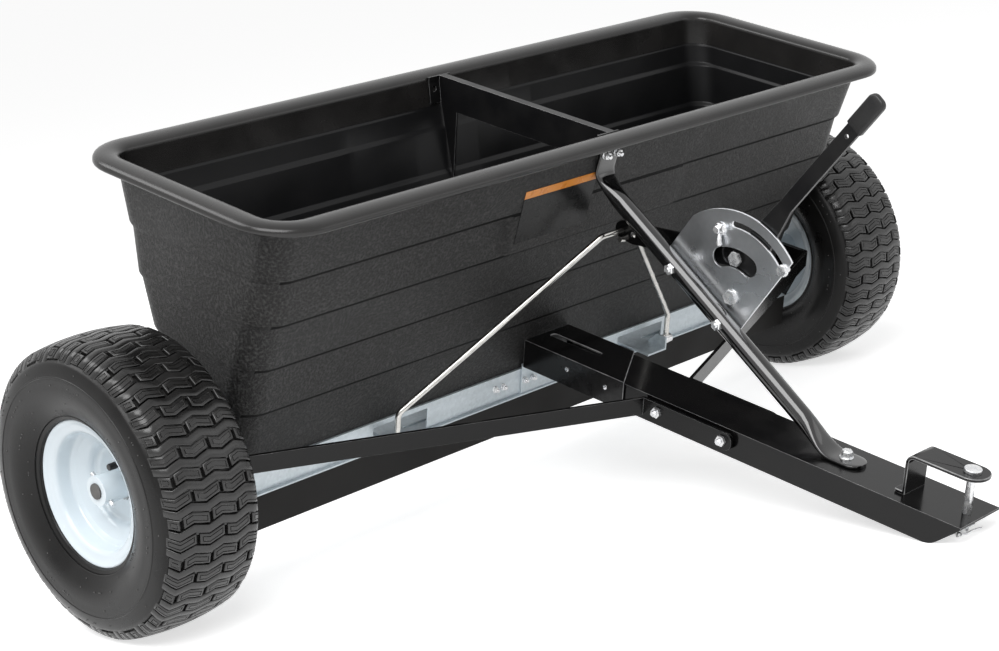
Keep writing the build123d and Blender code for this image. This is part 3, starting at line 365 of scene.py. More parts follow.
# Hopper: outer skin, rolled rim and inner skin in one closed tub
hopper = {
    "middleY": -9.4, "wallCorner": 38, "innerCorner": 34, "cornerSteps": 9, "outerRound": 1.6, "innerRound": 1.3,
    "rimLength": 1195.5, "rimCorner": 75, "rimCrown": (354.8, 10.2, 0.72),
    # faces under the outer steps painted dark as painted shade: height of each foot, height of a step, reach along the
    # long sides
    "stepFeet": (79.5, 146.5, 212.5, 274.5), "stepHeight": 5, "stepShadeReach": 544,
    # flat panel on the front: its span along X, height and half width where its slope changes, slope above them
    "frontPanel": (-154, 178), "frontLine": ((212.5, 125.1), (217.5, 133.0), (287.0, 147.95)), "frontSlope": 0.24658,
    # flat panels inside, over a step each: lower and upper height, span along X
    "backPanels": ((285, 296, (-178, 178)), (225, 236, (-58, 60)), (316, 322, (-48, 138))),
}
# Outer wall from the rim down: height, half length, half width
outerWall = [
    (352.5, 565.95, 164.1), (279.5, 561.45, 146.1), (274.5, 559.95, 141.1), (217.5, 559.95, 130.1),
    (212.5, 558.45, 125.1), (151.5, 554.95, 106.1), (146.5, 553.45, 101.1), (84.5, 550.95, 86.1), (79.5, 549.45, 81.1),
    (2.5, 547.95, 62.1),
]
# Inner wall from the bottom up: height, half length, half width
innerWall = [
    (2.5, 543.95, 58.1), (94.5, 546.8, 81.5), (98.5, 548.6, 86.5), (161.5, 549.9, 102.5), (165.5, 551.6, 107.5),
    (228.5, 552.9, 125.0), (232.5, 555.2, 130.0), (288.5, 555.6, 141.0), (292.5, 558.2, 146.6), (318.0, 559.0, 152.5),
    (319.5, 560.0, 153.8), (352.5, 561.95, 160.1),
]


def softened(line, reach):
    # Each corner of a wall line becomes three points on a small round
    points = [Vector(point) for point in line]
    result = [points[0]]
    for before, corner, after in zip(points, points[1:], points[2:]):
        back = min(reach, (before - corner).length * 0.4)
        forth = min(reach, (after - corner).length * 0.4)
        start = corner + (before - corner).normalized() * back
        stop = corner + (after - corner).normalized() * forth
        result += [start, (start + corner * 2 + stop) / 4, stop]
    result.append(points[-1])
    return [tuple(point) for point in result]


def smoothStep(value, low, high):
    share = max(0, min(1, (value - low) / (high - low)))
    return share * share * (3 - 2 * share)


def insideSpan(x, span, edge=5):
    return smoothStep(x, span[0] - edge, span[0]) * (1 - smoothStep(x, span[1], span[1] + edge))


def innerWidth(wanted):
    # Half width of the inner wall at a height
    for low, high in zip(innerWall, innerWall[1:]):
        if low[0] <= wanted <= high[0]:
            return low[2] + (wanted - low[0]) / (high[0] - low[0]) * (high[2] - low[2])


def frontPanelWidth(height, width):
    # Half width of the flat panel, from the upper wall down past the first step to the second
    (foot, footWidth), (bend, bendWidth), (top, topWidth) = hopper["frontLine"]
    if height >= top:
        return topWidth + (height - top) * hopper["frontSlope"]
    if height >= bend:
        return bendWidth + (height - bend) * (topWidth - bendWidth) / (top - bend)
    if height >= foot:
        return footWidth + (height - foot) * (bendWidth - footWidth) / (bend - foot)
    return width


def flatBetween(low, high, height, width):
    # Straight wall between two heights of the inner wall
    if low < height < high:
        return innerWidth(low) + (height - low) * (innerWidth(high) - innerWidth(low)) / (high - low)
    return width


# Stations along the long sides: evenly spaced, and close together at the panels' ends
longStations = [-500, -420, -340, -260, -200, -183, -178, -166, -159, -156.5, -154, -130, -90, -63, -58, -53, -48, -20,
                0, 30, 60, 62.5, 65, 100, 138, 140.5, 143, 160, 178, 180.5, 183, 200, 260, 340, 420, 500]


def tubRing(halfLength, halfWidth, corner, height, wall):
    ring = []
    straight, flat = halfLength - corner, halfWidth - corner
    turns = [pi / 2 * step / hopper["cornerSteps"] for step in range(1, hopper["cornerSteps"])]
    stations = [-straight] + [x for x in longStations if abs(x) < straight - 3] + [straight]
    for side in (-1, 1):
        for x in stations[::-side]:
            width = halfWidth
            if wall == "outer" and side < 0:
                width += insideSpan(x, hopper["frontPanel"]) * (frontPanelWidth(height, halfWidth) - halfWidth)
            if wall == "inner":
                for low, high, span in hopper["backPanels"]:
                    width += insideSpan(x, span) * (flatBetween(low, high, height, halfWidth) - halfWidth)
            ring.append((x, hopper["middleY"] + side * width, height))
        # a corner, the short end and the next corner
        outline = [(straight + corner * sin(turn), flat + corner * cos(turn)) for turn in turns]
        outline += [(halfLength, flat), (halfLength, 0), (halfLength, -flat)]
        outline += [(straight + corner * cos(turn), -flat - corner * sin(turn)) for turn in turns]
        ring += [(-side * x, hopper["middleY"] + side * y, height) for x, y in outline]
    return ring


outerLine = softened(outerWall, hopper["outerRound"])
rings = [tubRing(*half, hopper["wallCorner"], height, "outer") for height, *half in reversed(outerLine)]
outerCount = len(rings)
# Rim, as reach past the wall's top and height: under face, turned-down lip, domed top back to the tub
topLength, topWidth = outerWall[0][1:]
rimReach = hopper["rimLength"] / 2 - topLength
rimProfile = [
    (3.0, 359.5), (8.0, 360.8), (rimReach - 7.5, 360.3), (rimReach - 4.6, 358.0), (rimReach - 3.6, 354.0),
    (rimReach - 3.2, 352.9), (rimReach - 1.6, 352.4), (rimReach - 0.4, 353.2),
]
crownFoot, crownRise, crownPower = hopper["rimCrown"]
wall = outerWall[0][1] - innerWall[-1][1]
for step in range(19):
    turn = pi * step / 18
    reach = (rimReach - wall) / 2 + (rimReach + wall) / 2 * cos(turn)
    rimProfile.append((reach, crownFoot + crownRise * sin(turn) ** crownPower))
for reach, height in rimProfile:
    share = max(0, min(1, (reach + wall) / (rimReach + wall)))
    corner = hopper["innerCorner"] + (hopper["rimCorner"] - hopper["innerCorner"]) * share
    rings.append(tubRing(topLength + reach, topWidth + reach, corner, height, "rim"))
rimCount = len(rings)
innerLine = softened(innerWall, hopper["innerRound"])
rings += [tubRing(*half, hopper["innerCorner"], height, "inner") for height, *half in reversed(innerLine[:-1])]
rings.append(rings[0])


def tubSlot(level, index):
    # Order of the materials: outside, rim, inside, painted shade under the steps
    if level >= outerCount - 1:
        return 1 if level < rimCount else 2
    x, y, middle = (Vector(rings[level][index]) + Vector(rings[level + 1][index])) / 2
    # faces under a step take the darker material, painted shade
    inStepShade = any(foot < middle < foot + hopper["stepHeight"] for foot in hopper["stepFeet"])
    return 3 if inStepShade and abs(x) < hopper["stepShadeReach"] else 0


tub = newShape()
addRings(tub, rings, slotOf=tubSlot)
makePiece("hopperTub", tub, ["hopperPebbled", "hopperSmooth", "hopperInside", "hopperStepShade"], "frame", sharp=50,
          replaced=["hopper"])

# Label on the front panel: a plain orange band over a plain black plate
label = {
    "left": -145, "right": -9, "top": 308.5, "bandFoot": 297.5, "gap": 0.4, "foot": 232.5, "sheet": 0.5, "sunk": -0.6,
}


def panelFront(x, height, out):
    return (x, hopper["middleY"] - frontPanelWidth(height, 0) - out, height)


for name, high, low, material in (("labelBand", label["top"], label["bandFoot"], "labelOrange"),
                                  ("labelPlate", label["bandFoot"] - label["gap"], label["foot"], "labelBlack")):
    shape = newShape()
    corners = ((label["left"], high), (label["right"], high), (label["right"], low), (label["left"], low))
    sheet = [[panelFront(x, z, out) for x, z in corners] for out in (label["sunk"], label["sheet"])]
    addRings(shape, sheet, startCap=True, endCap=True)
    makePiece(name, shape, [material], "frame")
print("hopper ready")


# Wheels
wheel = {
    "place": 656.15, "segments": 176, "tyreRadius": 187.5, "treadHalf": 57, "crownDrop": 5, "tyreHalf": 73,
    "widestRadius": 140.15, "underShoulder": (66.4, 170.83), "flankMiddle": (69, 114.48), "bead": (54.7, 93.1),
    "ribHeight": 0.7, "upperRibRadius": 151, "lowerRibAlong": 148.0,
    # vent nubs: distance along the skin, number round the tyre
    "nubs": ((84, 22), (104, 26), (126, 22), (139, 18)),
}
# Tread: length of a zig-zag and its shift along the skin; each row holds a groove, blocks, a thin groove and a bar
tread = {
    "rows": 44, "edge": 76, "shorter": 4.5, "depth": 5.0, "waveHeight": 3.0, "waveLength": 40.0, "waveShift": -2.0,
    "groove": 1.8, "blockHigh": 13.6, "thinGroove": 0.9, "thinDepth": 2.0, "slot": 4.5, "slotShift": -4.3,
    "slotMargin": 7, "loopInset": 3.2, "loopWidth": 1.1, "loopDepth": 1.6, "leastLoop": 14, "overlap": 2,
    # ends of the lugs: how far the first knot keeps off, and how the top falls away at the shoulder
    "knotGap": 6.5, "keep": 3, "loopKeep": 5.5, "shortKeep": 2, "fadeReach": 5, "fadeSlope": 0.16,
}


def nearTurn(angle, other):
    # The same angle, at most half a turn from the other
    return angle - 2 * pi * round((angle - other) / (2 * pi))


def arcThrough(first, middle, last, steps):
    # Points on the arc from first to last that passes the middle point
    ax, ay, bx, by, cx, cy = *first, *middle, *last
    squares = (ax**2 + ay**2, bx**2 + by**2, cx**2 + cy**2)
    spread = 2 * (ax * (by - cy) + bx * (cy - ay) + cx * (ay - by))
    x = (squares[0] * (by - cy) + squares[1] * (cy - ay) + squares[2] * (ay - by)) / spread
    y = (squares[0] * (cx - bx) + squares[1] * (ax - cx) + squares[2] * (bx - ax)) / spread
    radius = hypot(ax - x, ay - y)
    start, through, stop = (atan2(point[1] - y, point[0] - x) for point in (first, middle, last))
    through = nearTurn(through, start)
    sweep = nearTurn(stop, through) - start
    angles = [start + sweep * step / steps for step in range(steps + 1)]
    return [(x + radius * cos(angle), y + radius * sin(angle)) for angle in angles]


# Half of the tyre's outline, as offset and radius from the crown to the bead, and the distance along it
shoulder = (wheel["treadHalf"], wheel["tyreRadius"] - wheel["crownDrop"])
widest = (wheel["tyreHalf"], wheel["widestRadius"])
underCrown = (shoulder[0] / 2, wheel["tyreRadius"] - wheel["crownDrop"] * 0.25)
halfProfile = arcThrough((0, wheel["tyreRadius"]), underCrown, shoulder, 12)
halfProfile += arcThrough(shoulder, wheel["underShoulder"], widest, 14)[1:]
halfProfile += arcThrough(widest, wheel["flankMiddle"], wheel["bead"], 14)[1:]
alongProfile = [0]
for (x0, r0), (x1, r1) in zip(halfProfile, halfProfile[1:]):
    alongProfile.append(alongProfile[-1] + hypot(x1 - x0, r1 - r0))


def onProfile(across, sunk):
    # Point (offset, radius) at a distance from the crown measured along the tyre's skin, sunk below it
    side = -1 if across < 0 else 1
    reach = abs(across)
    for index in range(len(alongProfile) - 1):
        if reach <= alongProfile[index + 1] or index == len(alongProfile) - 2:
            span = alongProfile[index + 1] - alongProfile[index]
            share = (reach - alongProfile[index]) / span
            (x0, r0), (x1, r1) = halfProfile[index], halfProfile[index + 1]
            nx, nr = -(r1 - r0) / span, (x1 - x0) / span
            return (side * (x0 + (x1 - x0) * share - nx * sunk), r0 + (r1 - r0) * share - nr * sunk)


def alongAt(radius):
    # Distance along the skin where it first drops below a radius
    return next(along for along, (x, r) in zip(alongProfile, halfProfile) if r < radius)


def treadWave(across):
    # Zig-zag of the grooves across the tread
    share = ((across - tread["waveShift"]) / tread["waveLength"]) % 1
    return tread["waveHeight"] * (1 - 4 * min(share, 1 - share))


def treadKnots(left, right, keep):
    # Corners of the zig-zag between two ends, with points between them that follow the shoulder's curve
    corners = [tread["waveShift"] + tread["waveLength"] / 2 * index for index in range(-5, 6)]
    between = [corner for corner in corners if left + keep + 2 < corner < right - keep - 2]
    knots = [left + keep] + between + [right - keep]
    filled = []
    for first, second in zip(knots, knots[1:]):
        pieces = max(1, round((second - first) / tread["knotGap"]))
        filled += [first + (second - first) * part / pieces for part in range(pieces)]
    return filled + [right - keep]


def addSpun(shape, line, side, segments):
    # A closed outline, as offset from the wheel's middle and radius, carried round the axle
    middle = side * wheel["place"]
    rings = []
    for step in range(segments):
        angle = 2 * pi * step / segments
        rings.append([(middle + side * x, r * sin(angle), r * cos(angle)) for x, r in line])
    rings.append(rings[0])
    addRings(shape, [ring[::-1] for ring in rings] if side > 0 else rings)


def makeTyre(name, side, body, node):
    shape = newShape()
    middle = side * wheel["place"]

    def spot(across, around, sunk):
        offset, radius = onProfile(across, sunk)
        angle = around / wheel["tyreRadius"]
        return (middle + side * offset, radius * sin(angle), radius * cos(angle))

    # Carcass: groove floor under the tread, the skin on the sidewalls, ribs near the rim, closed inside
    treadEdge = tread["edge"]
    stations = [(across, tread["depth"]) for across in (0, 14, 28, 42, 52, 58, 63)]
    stations += [(treadEdge + past, sunk) for past, sunk in ((-8, 4.3), (-4, 2.4), (-1, 0.9), (1.5, 0.1), (4, 0))]
    skin = alongProfile[-1]
    stations += [(across, 0) for across in range(int(treadEdge) + 8, int(skin) - 4, 4)]
    for rib in (alongAt(wheel["upperRibRadius"]), wheel["lowerRibAlong"]):
        stations += [(rib - 1.2, 0), (rib - 0.5, -wheel["ribHeight"]), (rib + 0.5, -wheel["ribHeight"]), (rib + 1.2, 0)]
    stations += [(skin - 6, -0.2), (skin - 4.4, -1.3), (skin - 2.8, -1.3), (skin - 1.6, -0.2), (skin, 0)]
    half = [onProfile(across, sunk) for across, sunk in sorted(stations)]
    inside = [(51.0, 93.4), (48.6, 88), (46.4, 79.2), (44, 78.4), (36.1, 78.4), (36.1, 88.3), (60, 140), (48, 173)]
    line = [(-x, r) for x, r in reversed(half)] + half[1:] + inside + [(-x, r) for x, r in reversed(inside)]
    addSpun(shape, line, side, wheel["segments"])

    # Tread: in each row a plain zig-zag bar, a thin groove, and blocks cut apart by slots, each with a sunk line
    def addLug(left, right, low, high, levels, keep):
        # levels: inset of the outline and how far it is sunk, from the foot up
        inner = treadKnots(left, right, keep)[1:-1]
        rings = []
        for inset, sunk in levels:
            knots = [left + inset] + inner + [right - inset]
            fade = [max(0, abs(knot) - treadEdge + tread["fadeReach"]) * tread["fadeSlope"] for knot in knots]
            lower, upper = ([spot(knot, around + treadWave(knot), sunk + down) for knot, down in zip(knots, fade)]
                            for around in (low + inset, high - inset))
            ring = lower + upper[::-1]
            rings.append(ring[::-1] if side > 0 else ring)
        addRings(shape, rings, slot=1)
        # the top is bridged across, since its outline bends
        count = len(rings[-1])
        last = len(shape["points"]) - count
        for index in range(count // 2 - 1):
            far = last + count - 1 - index
            shape["faces"].append((last + index, last + index + 1, far - 1, far))
            shape["slots"].append(1)

    pitch = 2 * pi * wheel["tyreRadius"] / tread["rows"]
    deep = tread["depth"] + 0.4
    plain = [(-0.4, deep), (0.0, 1.2), (0.4, 0.4), (1.2, 0.0)]
    loopIn, loopOut = tread["loopInset"], tread["loopInset"] + tread["loopWidth"]
    loopDepth, keep, overlap = tread["loopDepth"], tread["keep"], tread["overlap"]
    sunkLine = [(loopIn, 0.0), (loopIn + 0.25, loopDepth), (loopOut - 0.25, loopDepth), (loopOut, 0.0)]
    for row in range(tread["rows"]):
        low = row * pitch + tread["groove"] / 2
        blockTop = low + tread["blockHigh"]
        barFoot = blockTop + tread["thinGroove"]
        barTop = (row + 1) * pitch - tread["groove"] / 2
        odd = row % 2
        barHalf = treadEdge - (tread["shorter"] if odd else 0)
        blockHalf = treadEdge - (0 if odd else tread["shorter"])
        addLug(-barHalf, barHalf, barFoot, barTop, plain, keep)
        thinFloor = [(0, deep), (0, tread["thinDepth"])]
        addLug(-blockHalf, blockHalf, blockTop - overlap, barFoot + overlap, thinFloor, keep)
        shift = tread["waveShift"] + tread["slotShift"] + (0 if odd else tread["waveLength"] / 2)
        slots = [shift + index * tread["waveLength"] for index in range(-2, 3)]
        slots = [slot for slot in slots if abs(slot) < blockHalf - tread["slotMargin"]]
        edges = [-blockHalf] + slots + [blockHalf]
        for start, stop in zip(edges, edges[1:]):
            left = start + (tread["slot"] / 2 if start > -blockHalf else 0)
            right = stop - (tread["slot"] / 2 if stop < blockHalf else 0)
            if right - left > tread["leastLoop"]:
                addLug(left, right, low, blockTop, plain + sunkLine, tread["loopKeep"])
            else:
                addLug(left, right, low, blockTop, plain, tread["shortKeep"])

    # Small nubs left by the mould's vents on the sidewall
    for ring, (across, number) in enumerate(wheel["nubs"]):
        for index in range(number):
            angle = 2 * pi * (index + 0.3 * ring) / number + 0.5 * sin(index * 7.1)
            for way in (-1, 1):
                centre, tip = (Vector((middle + side * x, r * sin(angle), r * cos(angle)))
                               for x, r in (onProfile(way * across, -0.1), onProfile(way * across, -1.0)))
                addTurned(shape, centre, tip - centre, [(0, 0.9), (0.8, 0.7), (1.1, 0.3)], segments=6)
    makePiece(name, shape, ["tyreRubber", "tyreTreadLit"], body, sharp=38, replaced=[node])


rim = {
    # outer face from the flange's curl to the hub, then back along the inner face, then the bead's seat
    "dish": [
        (54.4, 91.6), (54.0, 90.0), (52.2, 87.6), (50.4, 84.0), (49.4, 80.0), (48.4, 77.0), (46.2, 75.2), (42.0, 74.6),
        (30.0, 74.4), (27.4, 73.6), (25.2, 71.6), (16.6, 57.0), (13.6, 53.6), (9.4, 51.6), (5.4, 50.2), (3.6, 47.0),
        (3.0, 42.0), (3.0, 19.0)],
    "back": [
        (0.2, 19.0), (0.2, 43.0), (-0.6, 48.0), (-3.0, 51.4), (-8.0, 52.6), (-12.6, 54.0), (-15.4, 57.0), (-24.2, 71.6),
        (-26.6, 73.8), (-30.0, 74.4), (-42.0, 74.6), (-46.2, 75.2), (-48.4, 77.0), (-49.4, 80.0), (-50.4, 84.0),
        (-52.2, 87.6), (-54.0, 90.0), (-54.4, 91.6), (-53.8, 92.8), (-52.2, 92.7)],
    "seat": [
        (-51.4, 91.6), (-50.2, 89.0), (-48.2, 84.0), (-46.6, 78.2), (-44.0, 77.6), (-30.0, 77.6), (-16.0, 58.0),
        (-8.0, 55.8), (8.0, 55.8), (16.0, 58.0), (30.0, 77.6), (44.0, 77.6), (46.6, 78.2), (48.2, 84.0), (50.2, 89.0),
        (51.4, 91.6), (52.2, 92.7), (53.8, 92.8)],
    "segments": 96,
    # lumps of weld that hold the hub to the disc: angle of each run, lumps in one, angle between them, place
    "weldTurns": (200, 335, 80), "weldLumps": 7, "weldGap": 5.2, "weldRadius": 20.2, "weldOut": 2.6,
}


def makeRim(name, side, body, node):
    shape = newShape()
    addSpun(shape, rim["dish"] + rim["back"] + rim["seat"], side, rim["segments"])
    for turn in rim["weldTurns"]:
        for index in range(rim["weldLumps"]):
            angle = radians(turn + (index - 3) * rim["weldGap"])
            size = 1.6 + 0.7 * sin(index * 2.3 + turn)
            out, radius = wheel["place"] + rim["weldOut"], rim["weldRadius"]
            centre = (side * out, radius * sin(angle), radius * cos(angle))
            lump = [(0, size), (size * 0.7, size * 0.8), (size * 1.1, size * 0.3)]
            addTurned(shape, centre, (side * 0.8, sin(angle), cos(angle)), lump, segments=8, slot=1)
    makePiece(name, shape, ["rimPaint", "weldGrey"], body, sharp=45, replaced=[node])


valve = {
    "angle": 120, "circle": 47, "out": 3,
    "stem": [(-0.5, 7.5), (1.0, 7.5), (2.2, 6.6), (3.4, 4.6), (6.0, 4.1), (25.0, 3.4), (27.0, 3.0), (27.2, 2.6)],
    "cap": [(26.6, 4.2), (27.2, 4.4), (37.0, 4.3), (37.8, 3.8), (38.0, 2.6)],
}


def makeValve(name, side, body, node):
    shape = newShape()
    angle = radians(valve["angle"])
    centre = (side * (wheel["place"] + valve["out"]), valve["circle"] * cos(angle), valve["circle"] * sin(angle))
    for profile in (valve["stem"], valve["cap"]):
        addTurned(shape, centre, (side, 0, 0), profile, segments=20)
    makePiece(name, shape, ["softRubber"], body, replaced=[node])


for side, word, body in ((-1, "left", "drive_axle"), (1, "right", "wheel_right")):
    title = word.capitalize()
    makeTyre("tyre" + title, side, body, "tyre_" + word)
    makeRim("rim" + title, side, body, "rim_" + word)
    makeValve("valve" + title, side, body, "valve_" + word)
print("wheels ready")


# Fasteners: plain bolts and pins that the solids leave out

def addBolt(shape, centre, direction, across, height, washer, stud, turn):
    # across flats, head height, washer radius or 0, length of the stud past the head or 0, turn of the flats
    corner = across / 2 / cos(pi / 6)
    base = 1.4 if washer else 0
    top = base + height
    if washer:
        disc = [(-0.2, washer), (base - 0.3, washer), (base, washer - 0.3), (base, across * 0.3)]
        addTurned(shape, centre, direction, disc, segments=28)
    head = [(base - 0.1, corner * 0.95), (base + 0.5, corner), (base + height * 0.8, corner), (top, corner * 0.86)]
    addTurned(shape, centre, direction, head, segments=6, turn=turn)
    if stud:
        thread = [(top - 0.5, across * 0.27)]
        for ring in range(stud):
            thread += [(top + ring + 0.5, across * 0.29), (top + ring + 1, across * 0.26)]
        addTurned(shape, centre, direction, thread + [(top + stud, across * 0.2)], segments=16)
    else:
        addTurned(shape, centre, direction, [(top - 0.1, across * 0.36), (top + 0.25, across * 0.34)], segments=20)


wallSlope = (0, -0.981, -0.196)
frameBolts = [
    # centre, direction, across flats, head height, washer radius, stud, turn
    ((-11, -175.3, 335.5), wallSlope, 10, 5.0, 6.5, 4, 1.3),  # the stay's tab on the hopper
    ((11, -175.3, 335.5), wallSlope, 10, 5.0, 6.5, 4, 1.4),
    ((-12.3, -300, 214.4), (-1, 0, 0), 13, 5.2, 0, 3, 1.1),  # quadrant plate on the stay
    ((-12.3, -384, 164.3), (-1, 0, 0), 13, 5.2, 0, 3, 1.1),
    ((15.5, -300, 214.4), (1, 0, 0), 12, 1.2, 0, 0, 1.4),
    ((0, -593, 52.8), (0, 0, 1), 13, 8.5, 9, 0, 1.0),  # the stay's foot on the tongue
    ((0, -593, 44.8), (0, 0, -1), 16, 7.0, 11, 5, 1.3),
    ((-49.9, -329, 32.5), (-1, 0, 0), 13, 5.5, 0, 4, 1.5),  # braces on the tongue
    ((-49.9, -437, 32.5), (-1, 0, 0), 13, 5.5, 0, 4, 1.6),
    ((49.9, -329, 32.5), (1, 0, 0), 13, 5.5, 0, 4, 1.6),
    ((49.9, -437, 32.5), (1, 0, 0), 13, 5.5, 0, 4, 1.7),
    ((-88.2, -75.2, -14.4), (0, -1, 0), 8, 3.2, 5.0, 3, 1.0),  # tongue bracket on the front rail
    ((-72.4, -75.2, -14.8), (0, -1, 0), 8, 3.2, 5.0, 3, 1.1),
    ((-32.7, -77.7, -14.6), (0, -1, 0), 8, 3.2, 5.0, 3, 1.0),
    ((-16.6, -77.7, -14.6), (0, -1, 0), 8, 3.2, 5.0, 3, 1.1),
    ((-560.2, -60, 5), (-1, 0, 0), 13, 5.5, 8, 3, 1.6),  # end plates on the trough
    ((-560.2, 40, 5), (-1, 0, 0), 13, 5.5, 8, 3, 1.7),
    ((560.2, -60, 5), (1, 0, 0), 13, 5.5, 8, 3, 1.7),
    ((560.2, 40, 5), (1, 0, 0), 13, 5.5, 8, 3, 1.8),
]
bolts = newShape()
for values in frameBolts:
    addBolt(bolts, *values)
# round ends of the pins through the sleeve's side
for y, z in ((-165, 35), (-234, 33)):
    for side in (-1, 1):
        addTurned(bolts, (side * 44.9, y, z), (side, 0, 0), [(-0.2, 3.4), (0.9, 3.2), (1.3, 2.2)], segments=18)
makePiece("frameBolts", bolts, ["zincBolt"], "frame", sharp=28)

# Stay tube: pressed flat where it is bolted to the hopper and to the tongue
stay = {
    "segments": 40, "footY": -602, "footZ": 50.3, "footHalf": 18.0, "footThick": 2.5, "footSquare": 5, "footSteps": 8,
}
staySections = [
    # y, z, half width, half thickness, how square the section is
    (-175.2, 349.0, 15.0, 1.2, 5), (-175.1, 348.6, 17.2, 2.2, 5), (-174.6, 346.5, 18.0, 2.5, 5),
    (-170.9, 330.0, 18.0, 2.5, 5), (-168.0, 318.5, 18.0, 2.5, 5), (-166.6, 311.5, 18.0, 2.5, 4.6),
    (-166.9, 306.0, 17.8, 2.8, 4), (-169.6, 300.2, 17.2, 4.0, 3.2), (-174.4, 294.6, 16.2, 6.2, 2.6),
    (-181.4, 288.2, 14.8, 8.8, 2.3), (-190.2, 281.2, 13.4, 11.2, 2.1), (-200, 274.0, 12.5, 12.5, 2),
    (-240, 250.15, 12.5, 12.5, 2), (-480, 107.05, 12.5, 12.5, 2), (-522, 82.0, 12.5, 12.5, 2),
    (-532, 75.7, 13.2, 11.4, 2.1), (-541, 69.6, 14.6, 9.0, 2.3), (-549.5, 63.6, 16.0, 6.4, 2.6),
    (-557.5, 58.2, 17.2, 4.4, 3.2), (-565, 54.0, 17.8, 3.2, 4), (-572.5, 51.4, 18.0, 2.6, 4.6),
    (-580, 50.4, 18.0, 2.5, 5), (-600, 50.3, 18.0, 2.5, 5),
]
# the foot's rounded end
for step in range(1, stay["footSteps"]):
    turn = pi / 2 * step / stay["footSteps"]
    staySections.append((stay["footY"] - stay["footHalf"] * sin(turn), stay["footZ"], stay["footHalf"] * cos(turn),
                         stay["footThick"], stay["footSquare"]))
stayTube = newShape()
rings = []
for index, (y, z, halfWidth, halfThick, square) in enumerate(staySections):
    before = staySections[max(index - 1, 0)]
    after = staySections[min(index + 1, len(staySections) - 1)]
    along = Vector((0, after[0] - before[0], after[1] - before[1])).normalized()
    outward = Vector((1, 0, 0)).cross(along)
    ring = []
    for step in range(stay["segments"]):
        wide, thick = squareOf(2 * pi * step / stay["segments"], 2 / square)
        ring.append(Vector((halfWidth * wide, y, z)) + outward * (halfThick * thick))
    rings.append(ring[::-1])
addRings(stayTube, rings, startCap=True, endCap=True)
makePiece("stayTube", stayTube, ["tubeBlack"], "frame", sharp=50, replaced=["stay_tube"])

# Lever grip: a soft sleeve with a rounded tip, on a bar that leans back
grip = {
    "foot": 150.0, "length": 55.0, "halfWidth": 12.5, "halfThick": 5.0, "tipRound": 9.0, "tipThin": 2.4, "middle": 19.5,
    "segments": 28, "squared": 0.35, "barStart": (0, -448.08, 336.43), "barLean": 34.85,
}
barLean = radians(grip["barLean"])
barWay = Vector((0, -sin(barLean), cos(barLean)))
barAcross = Vector((0, barWay.z, -barWay.y))
# distance from the foot, half width, half thickness
gripSections = [(0.0, 11.4, 4.2), (0.4, 12.1, 4.8), (1.2, 12.5, 5.0), (24.0, 12.5, 5.0)]
for turn in (0, 18, 36, 52, 66, 78, 88):
    turn = radians(turn)
    gripSections.append((grip["length"] - grip["tipRound"] * (1 - sin(turn)),
                         grip["halfWidth"] - grip["tipRound"] * (1 - cos(turn)),
                         grip["halfThick"] - grip["tipThin"] * (1 - cos(turn))))
leverGrip = newShape()
rings = []
for along, halfWidth, halfThick in gripSections:
    ring = []
    for step in range(grip["segments"]):
        wide, thick = squareOf(2 * pi * step / grip["segments"], grip["squared"])
        ring.append(Vector(grip["barStart"]) + barWay * (grip["foot"] + along) + barAcross * (halfWidth * wide)
                    + Vector((grip["middle"] + halfThick * thick, 0, 0)))
    rings.append(ring)
addRings(leverGrip, rings, startCap=True, endCap=True)
makePiece("leverGrip", leverGrip, ["softRubber"], "lever", sharp=45, replaced=["lever_grip"])

# Right rod: hooked through the end of the link bar, then down to the right ear
rod = {"radius": 4.0, "bend": 14, "line": [(16, -188, 215), (48, -190, 212), (243, -100, 20), (243, -100, -22.5)]}
rodRight = newShape()
path = roundedPath(rod["line"], rod["bend"])
addTube(rodRight, path, [rod["radius"]] * len(path), segments=16)
makePiece("rodRight", rodRight, ["rodSteel"], "gate", replaced=["rod_right"])

# Quadrant: the bolts' far nuts and the wing nut, placed by radius and angle about the lever's pivot
quadrant = {
    "pivot": (-382, 196), "face": 12.5, "nuts": ((0, 0, 17), (97, 52, 13)), "wingPlace": (89, -17.2),
    "wingTips": ((-8, -13 * sin(radians(70)), 13 * cos(radians(70))), (-7, -6, -21)),
}


def aboutPivot(radius, angle):
    y, z = quadrant["pivot"]
    return (quadrant["face"], y - radius * sin(radians(angle)), z + radius * cos(radians(angle)))


quadrantNuts = newShape()
for radius, angle, across in quadrant["nuts"]:
    disc = [(-0.2, across * 0.62), (0.8, across * 0.62), (1.0, across * 0.5)]
    addTurned(quadrantNuts, aboutPivot(radius, angle), (-1, 0, 0), disc, segments=28)
wingBase = Vector(aboutPivot(*quadrant["wingPlace"]))
wingHub = [(-0.2, 9), (1.2, 9), (1.4, 7), (1.6, 6.6), (9.5, 5.0), (10.2, 4.2)]
addTurned(quadrantNuts, wingBase, (-1, 0, 0), wingHub, segments=28)
for tip in quadrant["wingTips"]:
    tip = Vector(tip)
    root = Vector((-3.5, tip.y * 0.25, tip.z * 0.25))
    middle = (root + tip) / 2 + Vector((-1.5, 0, 0))
    wing = [wingBase + point for point in (root, middle, tip * 0.92, tip)]
    addTube(quadrantNuts, wing, [2.6, 3.6, 4.2, 2.6])
makePiece("quadrantNuts", quadrantNuts, ["zincBolt"], "frame", sharp=30)

